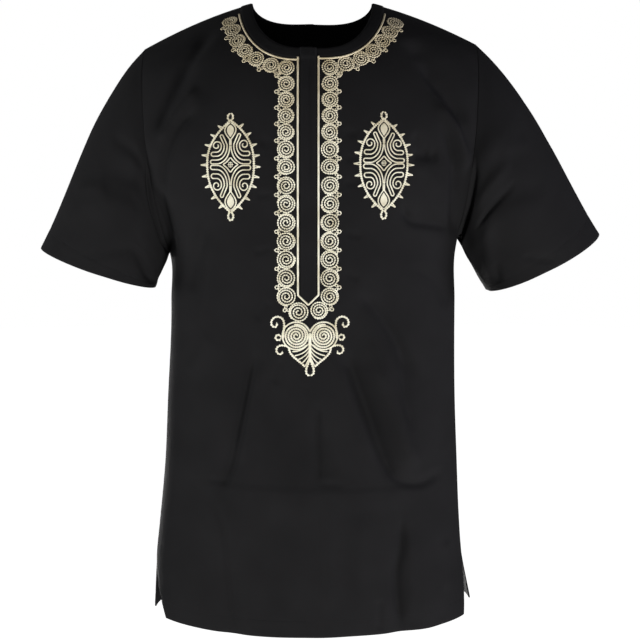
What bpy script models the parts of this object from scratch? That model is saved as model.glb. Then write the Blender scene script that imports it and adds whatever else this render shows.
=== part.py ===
"""A short-sleeved tunic shirt with an embroidered front, hollow, as it hangs on a wearer.

Lengths are metres. +Z is up, the front faces -Y, and +X is on the right of someone who faces the front.
The origin is midway between the neck ends of the two shoulder seams, at their height.

The body cloth is a form worked out from a table of half widths and depths. A point of it is found from
x, how far it lies across, and run, how far it lies below the shoulder ridge along the cloth.
A panel is a grid on that form: its rows start as rings round the neck and end on the shoulder seam,
then on the armhole and then on the side seam. Its columns fan out from the neck to the hem.
A sleeve is a tube of rings from the armhole to the cuff. What lies on a panel is laid on its points.
"""

import math
from collections import namedtuple

import bpy
import numpy as np
from mathutils import Vector
from mathutils.bvhtree import BVHTree

# Cloth and seams
CLOTH = 0.0012
SEAM_GAP = 0.0003
SLEEVE_GAP = 0.00036
SLEEVE_LEAN = 0.7
TRIM_LIFT = 0.0007
TRIM = 0.0010
NORMAL_STEP = 0.0008
CAST_REACH = 0.02
SHARP_ANGLE = math.radians(40)

# Body
BODY_LENGTH = 0.777
CHEST_DROP = 0.200
CHEST_RUN = 0.240
ARCH_SLOPE = 0.18
SLOPE_POWER = 1.7
SECTION_POWER = 2.35
HEM_RUN = CHEST_RUN + BODY_LENGTH - CHEST_DROP
SLIT_RUN = 0.725
HEM_TILT = 0.016
HEM_RISE_POWER = 6
ARMHOLE_POWER = 3

# Neck
NECK_HALF_WIDTH = 0.0750
NECK_POWER = 2.70
FRONT_NECK_RUN = 0.1175
BACK_NECK_RUN = 0.080
BAND_WIDTH = 0.0165

# Placket and cord line
PLACKET_X = -0.0045
PLACKET_HALF_WIDTH = 0.0125
PLACKET_RUN = 0.3935
PLACKET_POINT = 0.0120
LINE_WIDTH = 0.0032
LINE_CROWN = 0.0006
FRONT_BAND_SAMPLES = 37
BACK_BAND_SAMPLES = 25
PLACKET_ROWS = 25
PLACKET_COLUMNS = 5
RING_SAMPLES = 15
LINE_SAMPLES = 22
POINT_SAMPLES = 4
BACK_LINE_SAMPLES = 29

# Rosette borders: a chain of round motifs beside the cord line, with one more under the placket's point
ROSETTES = 21
ROSETTE_OUT = 0.0275
ROSETTE_ASIDE = 0.0262
ROSETTE_COLUMN_END = 0.3955
ROSETTE_LAST_ASIDE = 0.0128
ROSETTE_LAST_RUN = 0.4200
ROSETTE_INNER = 0.0085
ROSETTE_OUTER = 0.0115
SCALLOP = 0.0035
SCALLOP_POWER = 0.6
CORNER_NOTCH = 0.0012
NOTCH_SLOPE = 0.7
LAST_TAPER = 0.02
ROSETTE_SAMPLES = 4
FINE_RING = 200
FINE_COLUMN = 400
FINE_END = 60

# Chest medallions, and the pendant under the placket
MEDALLION_HALF_WIDTH = 0.0285
MEDALLION_HALF_LENGTH = 0.0520
MEDALLION_POWER = 1.9
MEDALLION_TIP = 0.03
MEDALLION_ROWS = 15
MEDALLION_COLUMNS = 6
Medallion = namedtuple("Medallion", "name x run")
MEDALLIONS = (
    Medallion("medallion_right", -0.0995, 0.2385),
    Medallion("medallion_left", 0.0878, 0.2370),
)
PENDANT_X = -0.0035
PENDANT_RUN = 0.4435
LOBE_ASIDE = 0.0170
LOBE_RADIUS = 0.0150
LOBE_SPREAD = 0.0168
LOBE_DEPTH = 0.0060
PENDANT_HALF_WIDTH = 0.0325
PENDANT_POINT_RUN = 0.4760
PENDANT_POWER = 0.9
PENDANT_ROWS = 5
PENDANT_COLUMNS = 17

# Rows and columns of the panels and sleeves
CHEST_MID_RUN = 0.215
SHOULDER_ROWS = 6
ARMHOLE_ROWS = 11
ARMHOLE_SPACING = 1.6
SIDE_ROWS = 16
FRONT_COLUMNS = 28
BACK_COLUMNS = 22
SLEEVE_RINGS = 11

FRONT = -1
BACK = 1

# CAP_RISE is how much of the puff at a sleeve's cap goes up instead of out
CAP_RISE = 0.15
Side = namedtuple(
    "Side",
    "sign shoulder_half_width shoulder_drop armpit_run armpit_half_width front_slit front_rise "
    "back_slit flare cuff_x cuff_y cuff_z cuff_half_width cuff_half_depth cuff_tilt cuff_dip "
    "cap_puff puff",
)
LEFT = Side(-1, 0.2120, 0.057, 0.352, 0.1824, 0.50, 0.006, 0.06, 0.005,
            -0.2733, -0.014, -0.3315, 0.0771, 0.064, math.radians(19.3), 0.001, 0.088, 0.040)
RIGHT = Side(1, 0.2070, 0.051, 0.332, 0.1830, 0.45, 0.001, 0.06, 0.005,
             0.2931, -0.014, -0.3241, 0.0801, 0.064, math.radians(27.0), 0.006, 0.090, 0.040)

Station = namedtuple("Station", "drop half_left half_right front_depth back_depth")
STATIONS = (
    Station(0.000, 0.2370, 0.2320, 0.124, 0.112),
    Station(0.100, 0.2420, 0.2390, 0.124, 0.116),
    Station(0.180, 0.2380, 0.2330, 0.126, 0.118),
    Station(0.240, 0.2180, 0.2110, 0.128, 0.114),
    Station(0.275, 0.1990, 0.1910, 0.128, 0.111),
    Station(0.310, 0.1830, 0.1828, 0.128, 0.108),
    Station(0.375, 0.1810, 0.1826, 0.128, 0.106),
    Station(0.500, 0.1868, 0.1840, 0.133, 0.112),
    Station(0.580, 0.1910, 0.1872, 0.139, 0.120),
    Station(0.660, 0.1990, 0.1910, 0.145, 0.128),
    Station(0.700, 0.2035, 0.1940, 0.148, 0.132),
    Station(0.777, 0.2062, 0.2045, 0.153, 0.138),
)

Fold = namedtuple("Fold", "panel x0 run0 x1 run1 width height")
FOLDS = (
    Fold(FRONT, -0.066, 0.435, -0.121, 0.690, 0.016, -0.0035),
    Fold(FRONT, -0.040, 0.450, -0.080, 0.640, 0.020, 0.0025),
    Fold(FRONT, 0.010, 0.520, 0.010, 0.640, 0.014, -0.0025),
    Fold(FRONT, 0.042, 0.425, 0.100, 0.645, 0.018, -0.0050),
    Fold(FRONT, 0.066, 0.405, 0.130, 0.610, 0.016, 0.0045),
    Fold(FRONT, 0.070, 0.370, 0.135, 0.520, 0.014, -0.0030),
    Fold(FRONT, -0.140, 0.642, 0.130, 0.646, 0.014, 0.0028),
    Fold(FRONT, 0.108, 0.655, 0.112, 0.930, 0.014, -0.0045),
    Fold(FRONT, 0.140, 0.680, 0.146, 0.940, 0.016, 0.0040),
    Fold(FRONT, -0.100, 0.690, -0.099, 0.940, 0.015, -0.0035),
    Fold(FRONT, 0.016, 0.640, 0.016, 0.940, 0.022, 0.0025),
    Fold(FRONT, -0.145, 0.105, -0.196, 0.215, 0.013, -0.0035),
    Fold(FRONT, -0.132, 0.155, -0.188, 0.290, 0.013, 0.0030),
    Fold(FRONT, -0.130, 0.290, -0.157, 0.430, 0.016, -0.0030),
    Fold(FRONT, 0.152, 0.145, 0.198, 0.240, 0.013, 0.0040),
    Fold(FRONT, 0.120, 0.214, 0.176, 0.230, 0.012, -0.0030),
    Fold(FRONT, 0.105, 0.286, 0.178, 0.322, 0.012, -0.0032),
    Fold(BACK, -0.115, 0.130, -0.180, 0.290, 0.018, -0.0045),
    Fold(BACK, 0.098, 0.120, 0.172, 0.268, 0.018, -0.0045),
    Fold(BACK, -0.060, 0.330, -0.094, 0.930, 0.022, -0.0060),
    Fold(BACK, 0.048, 0.360, 0.078, 0.940, 0.024, -0.0060),
    Fold(BACK, -0.010, 0.420, 0.000, 0.960, 0.026, 0.0050),
    Fold(BACK, -0.150, 0.455, -0.030, 0.520, 0.018, 0.0045),
    Fold(BACK, 0.030, 0.515, 0.155, 0.440, 0.018, 0.0045),
    Fold(BACK, -0.140, 0.560, -0.020, 0.590, 0.018, -0.0030),
    Fold(BACK, 0.126, 0.560, 0.136, 0.950, 0.020, -0.0045),
    Fold(BACK, -0.142, 0.640, -0.150, 0.960, 0.018, 0.0040),
)

# Folds of the sleeves. The angle is 0 on top, 90 in front and 180 under the arm, in degrees, and along
# is 0 at the armhole and 1 at the cuff. DEGREE and REACH are the lengths of one degree and of the sleeve.
DEGREE = 0.0013
REACH = 0.25
SleeveFold = namedtuple("SleeveFold", "side angle0 along0 angle1 along1 width height")
SLEEVE_FOLDS = (
    SleeveFold(LEFT, 55, 0.45, 105, 0.10, 0.012, -0.0030),
    SleeveFold(LEFT, 35, 0.80, 100, 0.30, 0.016, 0.0030),
    SleeveFold(LEFT, 95, 1.20, 135, 0.15, 0.014, -0.0030),
    SleeveFold(RIGHT, 50, 0.60, 120, 0.25, 0.013, -0.0035),
    SleeveFold(RIGHT, 40, 0.30, 100, 0.05, 0.014, 0.0030),
    SleeveFold(RIGHT, 85, 1.20, 125, 0.40, 0.015, -0.0030),
    SleeveFold(LEFT, 245, 0.15, 300, 0.65, 0.014, -0.0035),
    SleeveFold(LEFT, 262, 0.45, 300, 1.20, 0.016, 0.0030),
    SleeveFold(RIGHT, 250, 0.10, 305, 0.60, 0.014, -0.0035),
    SleeveFold(RIGHT, 240, 0.40, 285, 1.20, 0.016, 0.0030),
)


def smooth(knots, values, at):
    """The value at each place of a smooth curve through a table: cubic pieces with centred slopes."""
    knots = np.asarray(knots, float)
    values = np.asarray(values, float)
    slopes = np.gradient(values, knots)
    at = np.clip(at, knots[0], knots[-1])
    i = np.clip(np.searchsorted(knots, at) - 1, 0, len(knots) - 2)
    span = knots[i + 1] - knots[i]
    t = (at - knots[i]) / span
    return (
        values[i] * (2 * t**3 - 3 * t**2 + 1)
        + values[i + 1] * (3 * t**2 - 2 * t**3)
        + slopes[i] * span * (t**3 - 2 * t**2 + t)
        + slopes[i + 1] * span * (t**3 - t**2)
    )


def mix(a, b, t):
    return a + (b - a) * t


def unit(vectors):
    return vectors / np.linalg.norm(vectors, axis=-1, keepdims=True)


def station(column, drop):
    """One column of the form's table at each drop."""
    drops = [row.drop for row in STATIONS]
    return smooth(drops, [getattr(row, column) for row in STATIONS], drop)


def drop_of(run):
    """How far the middle of the cloth lies below the ridge: an arch to the chest, then straight down."""
    share = np.clip(run / CHEST_RUN, 0, 1)
    arch = mix(1 - np.cos(share * np.pi / 2), share, ARCH_SLOPE)
    return CHEST_DROP * arch + np.maximum(run - CHEST_RUN, 0)


def half_width(x, run):
    """Half the form's width on the side of x."""
    drop = drop_of(run)
    return np.where(x < 0, station("half_left", drop), station("half_right", drop))


def shoulder_slope(x):
    """How far the shoulder ridge lies below the neck point at x."""
    width = np.where(x < 0, LEFT.shoulder_half_width, RIGHT.shoulder_half_width)
    fall = np.where(x < 0, LEFT.shoulder_drop, RIGHT.shoulder_drop)
    neck = (NECK_HALF_WIDTH / width) ** SLOPE_POWER
    return fall * ((np.abs(x) / width) ** SLOPE_POWER - neck) / (1 - neck)


def ridge(dx, dy, across, along, fold):
    """A soft ridge, or a trough if its height is negative: a bell across a line that dies out at its ends.

    dx and dy are the distances from the line's start, and across and along lead from there to its end.
    """
    length = math.hypot(across, along)
    ahead = (dx * across + dy * along) / length**2
    aside = (dx * along - dy * across) / length
    ends = np.clip(1 - np.abs(2 * ahead - 1) ** 3, 0, 1)
    return fold.height * ends * np.exp(-((aside / fold.width) ** 2))


def fold_height(panel, x, run):
    """The height of all the folds of a panel at (x, run)."""
    total = np.zeros(np.shape(x))
    for fold in FOLDS:
        if fold.panel != panel:
            continue
        across = fold.x1 - fold.x0
        along = fold.run1 - fold.run0
        total = total + ridge(x - fold.x0, run - fold.run0, across, along, fold)
    return total


def form(panel, x, run):
    """The point of the unfolded form at (x, run) on the front or the back."""
    drop = drop_of(run)
    turn = np.clip(run / CHEST_RUN, 0, 1) * np.pi / 2
    depth = station("front_depth" if panel == FRONT else "back_depth", drop) * np.sin(turn)
    share = np.clip(np.abs(x) / half_width(x, run), 0, 1)
    y = panel * (depth * (1 - share**SECTION_POWER) ** (1 / SECTION_POWER) + SEAM_GAP / 2)
    z = -drop - shoulder_slope(x) * np.cos(turn) + HEM_TILT * x * (drop / BODY_LENGTH) ** 2
    return np.stack([x, y, z], axis=-1)


def form_normal(panel, x, run):
    """The outward direction of the form at (x, run). On the shoulder seam it leans to neither panel."""
    across = form(panel, x + NORMAL_STEP, run) - form(panel, x - NORMAL_STEP, run)
    above = np.maximum(run - NORMAL_STEP, 0)
    down = form(panel, x, run + NORMAL_STEP) - form(panel, x, above)
    normal = unit(np.cross(across, down) * panel)
    normal[..., 1] = np.where(run < 1e-6, 0, normal[..., 1])
    return unit(normal)


def grid_normals(points, outward, wrap):
    """The outward direction at each point of a grid, from the points beside it. A tube's columns wrap."""
    down = np.gradient(points, axis=0)
    if wrap:
        across = np.roll(points, -1, axis=1) - np.roll(points, 1, axis=1)
    else:
        across = np.gradient(points, axis=1)
    return unit(np.cross(across, down) * outward)


def columns(count):
    """Places across a panel from -1 to 1, closer together towards its sides, where it turns away."""
    angle = np.linspace(-np.pi / 2, np.pi / 2, count + 1)
    return np.sign(angle) * np.abs(np.sin(angle)) ** (2 / SECTION_POWER)


def row_ends(panel, side):
    """x and run of one edge of a panel: shoulder seam, armhole, side seam and slit, from neck to hem."""
    shoulder = np.linspace(0, 1, SHOULDER_ROWS + 1)
    armhole = 1 - (1 - np.arange(1, ARMHOLE_ROWS + 1) / ARMHOLE_ROWS) ** ARMHOLE_SPACING
    down = np.arange(1, SIDE_ROWS + 1) / SIDE_ROWS
    rise = side.front_rise if panel == FRONT else -side.flare
    side_run = mix(side.armpit_run, HEM_RUN, down) - rise * down**HEM_RISE_POWER
    open_share = np.clip((side_run - SLIT_RUN) / (HEM_RUN - SLIT_RUN), 0, 1)
    slit = side.front_slit if panel == FRONT else side.back_slit
    in_from_side = (1 - (slit * open_share) ** SECTION_POWER) ** (1 / SECTION_POWER)
    side_x = half_width(np.full(SIDE_ROWS, float(side.sign)), side_run) * in_from_side
    x = np.concatenate([
        mix(NECK_HALF_WIDTH, side.shoulder_half_width, shoulder),
        mix(side.shoulder_half_width, side.armpit_half_width, armhole**ARMHOLE_POWER),
        side_x,
    ])
    run = np.concatenate([0 * shoulder, side.armpit_run * armhole, side_run])
    return side.sign * x, run


def panel_domain(panel):
    """x and run of every point of a panel, row by row. A row is a ring at the neck and level at the hem."""
    neck_run = FRONT_NECK_RUN if panel == FRONT else BACK_NECK_RUN
    armpit_run = (LEFT.armpit_run + RIGHT.armpit_run) / 2
    middle = np.concatenate([
        np.linspace(neck_run, CHEST_MID_RUN, SHOULDER_ROWS + 1),
        np.linspace(CHEST_MID_RUN, armpit_run, ARMHOLE_ROWS + 1)[1:],
        np.linspace(armpit_run, HEM_RUN, SIDE_ROWS + 1)[1:],
    ])
    rows = np.arange(len(middle))
    marks = [0, SHOULDER_ROWS, SHOULDER_ROWS + ARMHOLE_ROWS]
    power = np.interp(rows, marks, [NECK_POWER, 2, 2])
    round_off = np.interp(rows, marks, [1 / NECK_POWER, 1, 2])
    place = columns(FRONT_COLUMNS if panel == FRONT else BACK_COLUMNS)
    left_x, left_run = row_ends(panel, LEFT)
    right_x, right_run = row_ends(panel, RIGHT)
    end_x = np.where(place < 0, -left_x[:, None], right_x[:, None])
    end_run = np.where(place < 0, left_run[:, None], right_run[:, None])
    sag = (1 - np.abs(place) ** power[:, None]) ** round_off[:, None]
    return end_x * place, mix(end_run, middle[:, None], sag)


def panel_surface(panel):
    """The outer points of a panel and their outward directions."""
    x, run = panel_domain(panel)
    bare = form(panel, x, run)
    normals = grid_normals(bare, panel, wrap=False)
    points = bare + normals * fold_height(panel, x, run)[..., None]
    normals = grid_normals(points, panel, wrap=False)
    slit_row = np.searchsorted(row_ends(panel, LEFT)[1], SLIT_RUN)
    normals[: SHOULDER_ROWS + 1, [0, -1], 1] = 0
    normals[SHOULDER_ROWS + ARMHOLE_ROWS : slit_row, [0, -1], 1] = 0
    return points, unit(normals)


def armhole_ring(grids, side):
    """An armhole's points and outward directions: down its front edge and up its back edge."""
    edge = 0 if side is LEFT else -1
    rows = slice(SHOULDER_ROWS, SHOULDER_ROWS + ARMHOLE_ROWS + 1)
    front = np.stack([grids[FRONT][k][rows, edge] for k in (0, 1)])
    back = np.stack([grids[BACK][k][rows, edge] for k in (0, 1)])
    tip = (front[:, [0]] + back[:, [0]]) / 2
    pit = (front[:, [-1]] + back[:, [-1]]) / 2
    ring = np.concatenate([tip, front[:, 1:-1], pit, back[:, -2:0:-1]], axis=1)
    return ring[0], unit(ring[1])


def sleeve_surface(side, ring, ring_normals):
    """The outer points of a sleeve and their outward directions, ring by ring from armhole to cuff.

    Also the way that the sleeve leaves each point of the armhole.
    """
    along_edge = np.roll(ring, -1, axis=0) - np.roll(ring, 1, axis=0)
    away = unit(np.cross(along_edge, ring_normals) * -side.sign)
    start = ring + SLEEVE_GAP * unit(away + SLEEVE_LEAN * ring_normals)
    steps = np.linalg.norm(np.roll(ring, -1, axis=0) - ring, axis=1)
    front = np.cumsum(steps[:ARMHOLE_ROWS]) / steps[:ARMHOLE_ROWS].sum()
    back = np.cumsum(steps[ARMHOLE_ROWS:]) / steps[ARMHOLE_ROWS:].sum()
    angle = np.pi * np.concatenate([[0], front, 1 + back[:-1]])
    outward = np.array([side.sign * math.cos(side.cuff_tilt), 0, math.sin(side.cuff_tilt)])
    arm = np.array([side.sign * math.sin(side.cuff_tilt), 0, -math.cos(side.cuff_tilt)])
    centre = np.array([side.cuff_x, side.cuff_y, side.cuff_z])
    cuff = (
        centre
        + side.cuff_half_width * np.cos(angle)[:, None] * outward
        - side.cuff_half_depth * np.sin(angle)[:, None] * np.array([0, 1, 0])
        + side.cuff_dip * np.sin(angle)[:, None] * arm
    )
    chord = cuff - start
    top = np.clip(np.cos(angle), 0, 1)[:, None]
    lift = side.cap_puff * top**2 * np.array([side.sign, 0, CAP_RISE])
    lift = lift - side.puff * np.sin(angle)[:, None] * np.array([0, 1, 0])
    t = np.linspace(0, 1, SLEEVE_RINGS)[:, None, None]
    points = start + chord * t + lift * t * (1 - t) ** 2
    normals = grid_normals(points, side.sign, wrap=True)
    around = np.degrees(angle)[None, :]
    height = np.zeros(points.shape[:2])
    for fold in SLEEVE_FOLDS:
        if fold.side is not side:
            continue
        across = (fold.angle1 - fold.angle0) * DEGREE
        along = (fold.along1 - fold.along0) * REACH
        dx = (around - fold.angle0) * DEGREE
        dy = (t[..., 0] - fold.along0) * REACH
        height = height + ridge(dx, dy, across, along, fold)
    points = points + normals * height[..., None]
    return points, grid_normals(points, side.sign, wrap=True), away


def mesh_object(name, vertices, faces, material):
    mesh = bpy.data.meshes.new(name)
    mesh.from_pydata(vertices.tolist(), [], faces.tolist())
    mesh.materials.append(material)
    mesh.shade_smooth()
    mesh.set_sharp_from_angle(angle=SHARP_ANGLE)
    obj = bpy.data.objects.new(name, mesh)
    bpy.context.scene.collection.objects.link(obj)
    return obj


def wall(name, outer, inner, material, flip=False, wrap=False):
    """A closed wall between an outer and an inner grid of points. A tube wraps across its columns."""
    rows, cols = outer.shape[:2]
    index = np.arange(rows * cols).reshape(rows, cols)
    if wrap:
        index = np.concatenate([index, index[:, :1]], axis=1)
    under = index + rows * cols

    def strip(a, b, c, d):
        return np.stack([a, b, c, d], axis=-1).reshape(-1, 4)

    faces = [
        strip(index[:-1, :-1], index[1:, :-1], index[1:, 1:], index[:-1, 1:]),
        strip(under[:-1, :-1], under[:-1, 1:], under[1:, 1:], under[1:, :-1]),
        strip(index[0, :-1], index[0, 1:], under[0, 1:], under[0, :-1]),
        strip(index[-1, 1:], index[-1, :-1], under[-1, :-1], under[-1, 1:]),
    ]
    if not wrap:
        faces.append(strip(index[1:, 0], index[:-1, 0], under[:-1, 0], under[1:, 0]))
        faces.append(strip(index[:-1, -1], index[1:, -1], under[1:, -1], under[:-1, -1]))
    faces = np.concatenate(faces)
    if flip:
        faces = faces[:, ::-1]
    vertices = np.concatenate([outer.reshape(-1, 3), inner.reshape(-1, 3)])
    return mesh_object(name, vertices, faces, material)


def laid(trees, panel, x, run, height):
    """Points of a panel's own facets at (x, run), moved out by height."""
    x, run, height = np.broadcast_arrays(x, run, height)
    normals = form_normal(panel, x, run)
    bare = form(panel, x, run)
    found = []
    for point, normal in zip(bare.reshape(-1, 3), normals.reshape(-1, 3)):
        start = Vector(point + CAST_REACH * normal)
        hit = trees[panel].ray_cast(start, Vector(-normal), 2 * CAST_REACH)[0]
        found.append(hit or Vector(point))
    return np.array(found).reshape(bare.shape) + normals * height[..., None]


def pad(name, trees, panel, x, run, material, crown=0.0):
    """A thin pad that lies on a panel over a grid of (x, run), a little thicker in its middle."""
    place = np.linspace(-1, 1, x.shape[1])[None, :]
    thick = TRIM + crown * (1 - place**2)
    outer = laid(trees, panel, x, run, TRIM_LIFT + thick)
    inner = laid(trees, panel, x, run, TRIM_LIFT)
    return wall(name, outer, inner, material, flip=panel == BACK)


def neck_ring(panel, angle, out):
    """x and run on a ring round the neckline, out from its edge. The angle is 0 in the middle."""
    neck_run = FRONT_NECK_RUN if panel == FRONT else BACK_NECK_RUN
    x = (NECK_HALF_WIDTH + out) * np.sign(angle) * np.abs(np.sin(angle)) ** (2 / NECK_POWER)
    return x, (neck_run + out) * np.abs(np.cos(angle)) ** (2 / NECK_POWER)


def ring_run(panel, x, out):
    """The run at which the ring round the neckline passes x."""
    neck_run = FRONT_NECK_RUN if panel == FRONT else BACK_NECK_RUN
    share = np.clip(np.abs(x) / (NECK_HALF_WIDTH + out), 0, 1)
    return (neck_run + out) * (1 - share**NECK_POWER) ** (1 / NECK_POWER)


def ring_to(x_end, out, count):
    """x and run along the front's ring from the shoulder seam on the side of x_end to x_end."""
    last = np.arcsin((abs(x_end) / (NECK_HALF_WIDTH + out)) ** (NECK_POWER / 2))
    angle = math.copysign(1, x_end) * np.linspace(np.pi / 2, last, count)
    return np.stack(neck_ring(FRONT, angle, out), axis=1)


def line(start, end, count):
    return mix(np.array(start), np.array(end), np.linspace(0, 1, count)[:, None])


def beside(path, aside):
    """A path of (x, run) moved sideways by aside, with its corners mitred."""
    steps = unit(np.diff(path, axis=0))
    normals = np.stack([steps[:, 1], -steps[:, 0]], axis=1)
    before = np.concatenate([normals[:1], normals])
    after = np.concatenate([normals, normals[-1:]])
    mitre = (before + after) / (1 + np.sum(before * after, axis=1, keepdims=True))
    return path + mitre * np.reshape(aside, (-1, 1))


def material(name, colour, roughness):
    made = bpy.data.materials.new(name)
    made.use_nodes = True
    shader = made.node_tree.nodes["Principled BSDF"]
    shader.inputs["Base Color"].default_value = (*colour, 1)
    shader.inputs["Roughness"].default_value = roughness
    shader.inputs["Metallic"].default_value = 0
    return made


def build_panels(black):
    """The two body panels and the two sleeves, with the walls of each armhole seam mitred together."""
    grids = {panel: panel_surface(panel) for panel in (FRONT, BACK)}
    wall_normals = {panel: grids[panel][1].copy() for panel in grids}
    for side, name in ((LEFT, "sleeve_right"), (RIGHT, "sleeve_left")):
        ring, ring_normals = armhole_ring(grids, side)
        points, normals, away = sleeve_surface(side, ring, ring_normals)
        ridge_like = (np.sum(normals[0] * away, axis=1) > 0)[:, None]
        mitre = unit(ring_normals + normals[0])
        seam_normals = np.where(ridge_like, mitre, ring_normals)
        normals[0] = np.where(ridge_like, mitre, normals[0])
        edge = 0 if side is LEFT else -1
        first = SHOULDER_ROWS
        last = SHOULDER_ROWS + ARMHOLE_ROWS
        wall_normals[FRONT][first : last + 1, edge] = seam_normals[: ARMHOLE_ROWS + 1]
        wall_normals[BACK][first + 1 : last + 1, edge] = seam_normals[: ARMHOLE_ROWS - 1 : -1]
        wall_normals[BACK][first, edge] = seam_normals[0]
        wall(name, points, points - CLOTH * normals, black, flip=side is RIGHT, wrap=True)
    for panel, name in ((FRONT, "front"), (BACK, "back")):
        points = grids[panel][0]
        wall(name, points, points - CLOTH * wall_normals[panel], black, flip=panel == BACK)
    return grids


def facets(points):
    """A search tree over a panel's outer facets."""
    rows, cols = points.shape[:2]
    index = np.arange(rows * cols).reshape(rows, cols)
    corners = [index[:-1, :-1], index[1:, :-1], index[1:, 1:], index[:-1, 1:]]
    quads = np.stack(corners, axis=-1).reshape(-1, 4)
    return BVHTree.FromPolygons([Vector(p) for p in points.reshape(-1, 3)], quads.tolist())


def build_neckband(trees, black):
    """The strip round the neck, a front and a back piece that meet at the shoulder seams."""
    edge = BAND_WIDTH - LINE_WIDTH / 2 - SEAM_GAP
    out = np.array([[edge, edge / 2, 2 * SEAM_GAP]])
    for panel, name in ((FRONT, "neckband_front"), (BACK, "neckband_back")):
        count = FRONT_BAND_SAMPLES if panel == FRONT else BACK_BAND_SAMPLES
        angle = np.linspace(-np.pi / 2, np.pi / 2, count)[:, None]
        x, run = neck_ring(panel, angle, out)
        pad(name, trees, panel, x, run, black)


def build_placket(trees, black):
    """The strip from the neckband down the chest, with a pointed end."""
    half = PLACKET_HALF_WIDTH - LINE_WIDTH / 2 - SEAM_GAP
    place = np.linspace(-1, 1, PLACKET_COLUMNS)[None, :]
    down = np.linspace(0, 1, PLACKET_ROWS)[:, None]
    x = PLACKET_X + half * place + 0 * down
    top = ring_run(FRONT, x, BAND_WIDTH - LINE_WIDTH / 2)
    bottom = PLACKET_RUN - LINE_WIDTH / 2 - 2 * SEAM_GAP + PLACKET_POINT * (1 - np.abs(place))
    pad("placket", trees, FRONT, x, mix(top, bottom, down), black)


def build_lines(trees, gold):
    """The cord line: along the neckband in front, round the placket, and along the neckband at the back."""
    left = PLACKET_X - PLACKET_HALF_WIDTH
    right = PLACKET_X + PLACKET_HALF_WIDTH
    point = (PLACKET_X, PLACKET_RUN + PLACKET_POINT)
    left_ring = ring_to(left, BAND_WIDTH, RING_SAMPLES)
    right_ring = ring_to(right, BAND_WIDTH, RING_SAMPLES)
    down = line(left_ring[-1], (left, PLACKET_RUN), LINE_SAMPLES)
    up = line((right, PLACKET_RUN), right_ring[-1], LINE_SAMPLES)
    path = np.concatenate([
        left_ring,
        down[1:],
        line(down[-1], point, POINT_SAMPLES)[1:],
        line(point, up[0], POINT_SAMPLES)[1:],
        up[1:],
        right_ring[-2::-1],
    ])
    ribbon("line_front", trees, FRONT, path, gold)
    angle = np.linspace(-np.pi / 2, np.pi / 2, BACK_LINE_SAMPLES)
    back = np.stack(neck_ring(BACK, angle, BAND_WIDTH), axis=1)
    ribbon("line_back", trees, BACK, back, gold)


def ribbon(name, trees, panel, path, gold):
    """A narrow crowned strip along a path. Its ends stay on the shoulder seam."""
    half = LINE_WIDTH / 2
    sides = np.stack([beside(path, -half), path, beside(path, half)], axis=1)
    sides[..., 1] = np.maximum(sides[..., 1], 0)
    sides[[0, -1], :, 1] = 0
    pad(name, trees, panel, sides[..., 0], sides[..., 1], gold, crown=LINE_CROWN)


def rosette_path(sign):
    """x and run along the middle of one rosette border, evenly spaced on the cloth.

    Also each point's share of the length, and how far it lies from the corner of neck and placket.
    """
    column = PLACKET_X + sign * ROSETTE_ASIDE
    last = (PLACKET_X + sign * ROSETTE_LAST_ASIDE, ROSETTE_LAST_RUN)
    ring = ring_to(column, ROSETTE_OUT, FINE_RING)
    rough = np.concatenate([
        ring,
        line(ring[-1], (column, ROSETTE_COLUMN_END), FINE_COLUMN)[1:],
        line((column, ROSETTE_COLUMN_END), last, FINE_END)[1:],
    ])
    points = form(FRONT, rough[:, 0], rough[:, 1])
    steps = np.linalg.norm(np.diff(points, axis=0), axis=1)
    length = np.concatenate([[0], np.cumsum(steps)])
    share = np.linspace(0, 1, ROSETTES * ROSETTE_SAMPLES + 1)
    at = share * length[-1]
    path = np.stack([np.interp(at, length, rough[:, k]) for k in (0, 1)], axis=1)
    return path, share, np.abs(at - length[len(ring) - 1])


def build_rosettes(trees, gold):
    """The two borders of round motifs: thin strips with scalloped outer edges."""
    for sign, name in ((-1, "rosettes_right"), (1, "rosettes_left")):
        path, share, from_corner = rosette_path(sign)
        bump = np.abs(np.sin(np.pi * ROSETTES * share)) ** SCALLOP_POWER
        taper = np.clip((1 - share) * ROSETTES, LAST_TAPER, 1) ** 0.5
        inner = beside(path, -sign * ROSETTE_INNER * taper)
        reach = ROSETTE_OUTER - SCALLOP * (1 - bump)
        reach = np.minimum(reach, CORNER_NOTCH + NOTCH_SLOPE * from_corner)
        outer = beside(path, sign * reach * taper)
        middle = (inner + outer) / 2
        sides = np.stack([outer, middle, inner] if sign < 0 else [inner, middle, outer], axis=1)
        sides[0, :, 1] = 0
        sides[..., 1] = np.maximum(sides[..., 1], 0)
        pad(name, trees, FRONT, sides[..., 0], sides[..., 1], gold)


def build_medallions(trees, gold):
    """The two pointed medallions on the chest."""
    place = np.linspace(-1, 1, MEDALLION_ROWS)[:, None]
    across = np.linspace(-1, 1, MEDALLION_COLUMNS)[None, :]
    narrow = np.maximum(1 - np.abs(place) ** MEDALLION_POWER, MEDALLION_TIP)
    for medallion in MEDALLIONS:
        x = medallion.x + MEDALLION_HALF_WIDTH * narrow * across
        run = medallion.run + MEDALLION_HALF_LENGTH * place + 0 * across
        pad(medallion.name, trees, FRONT, x, run, gold)


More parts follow.
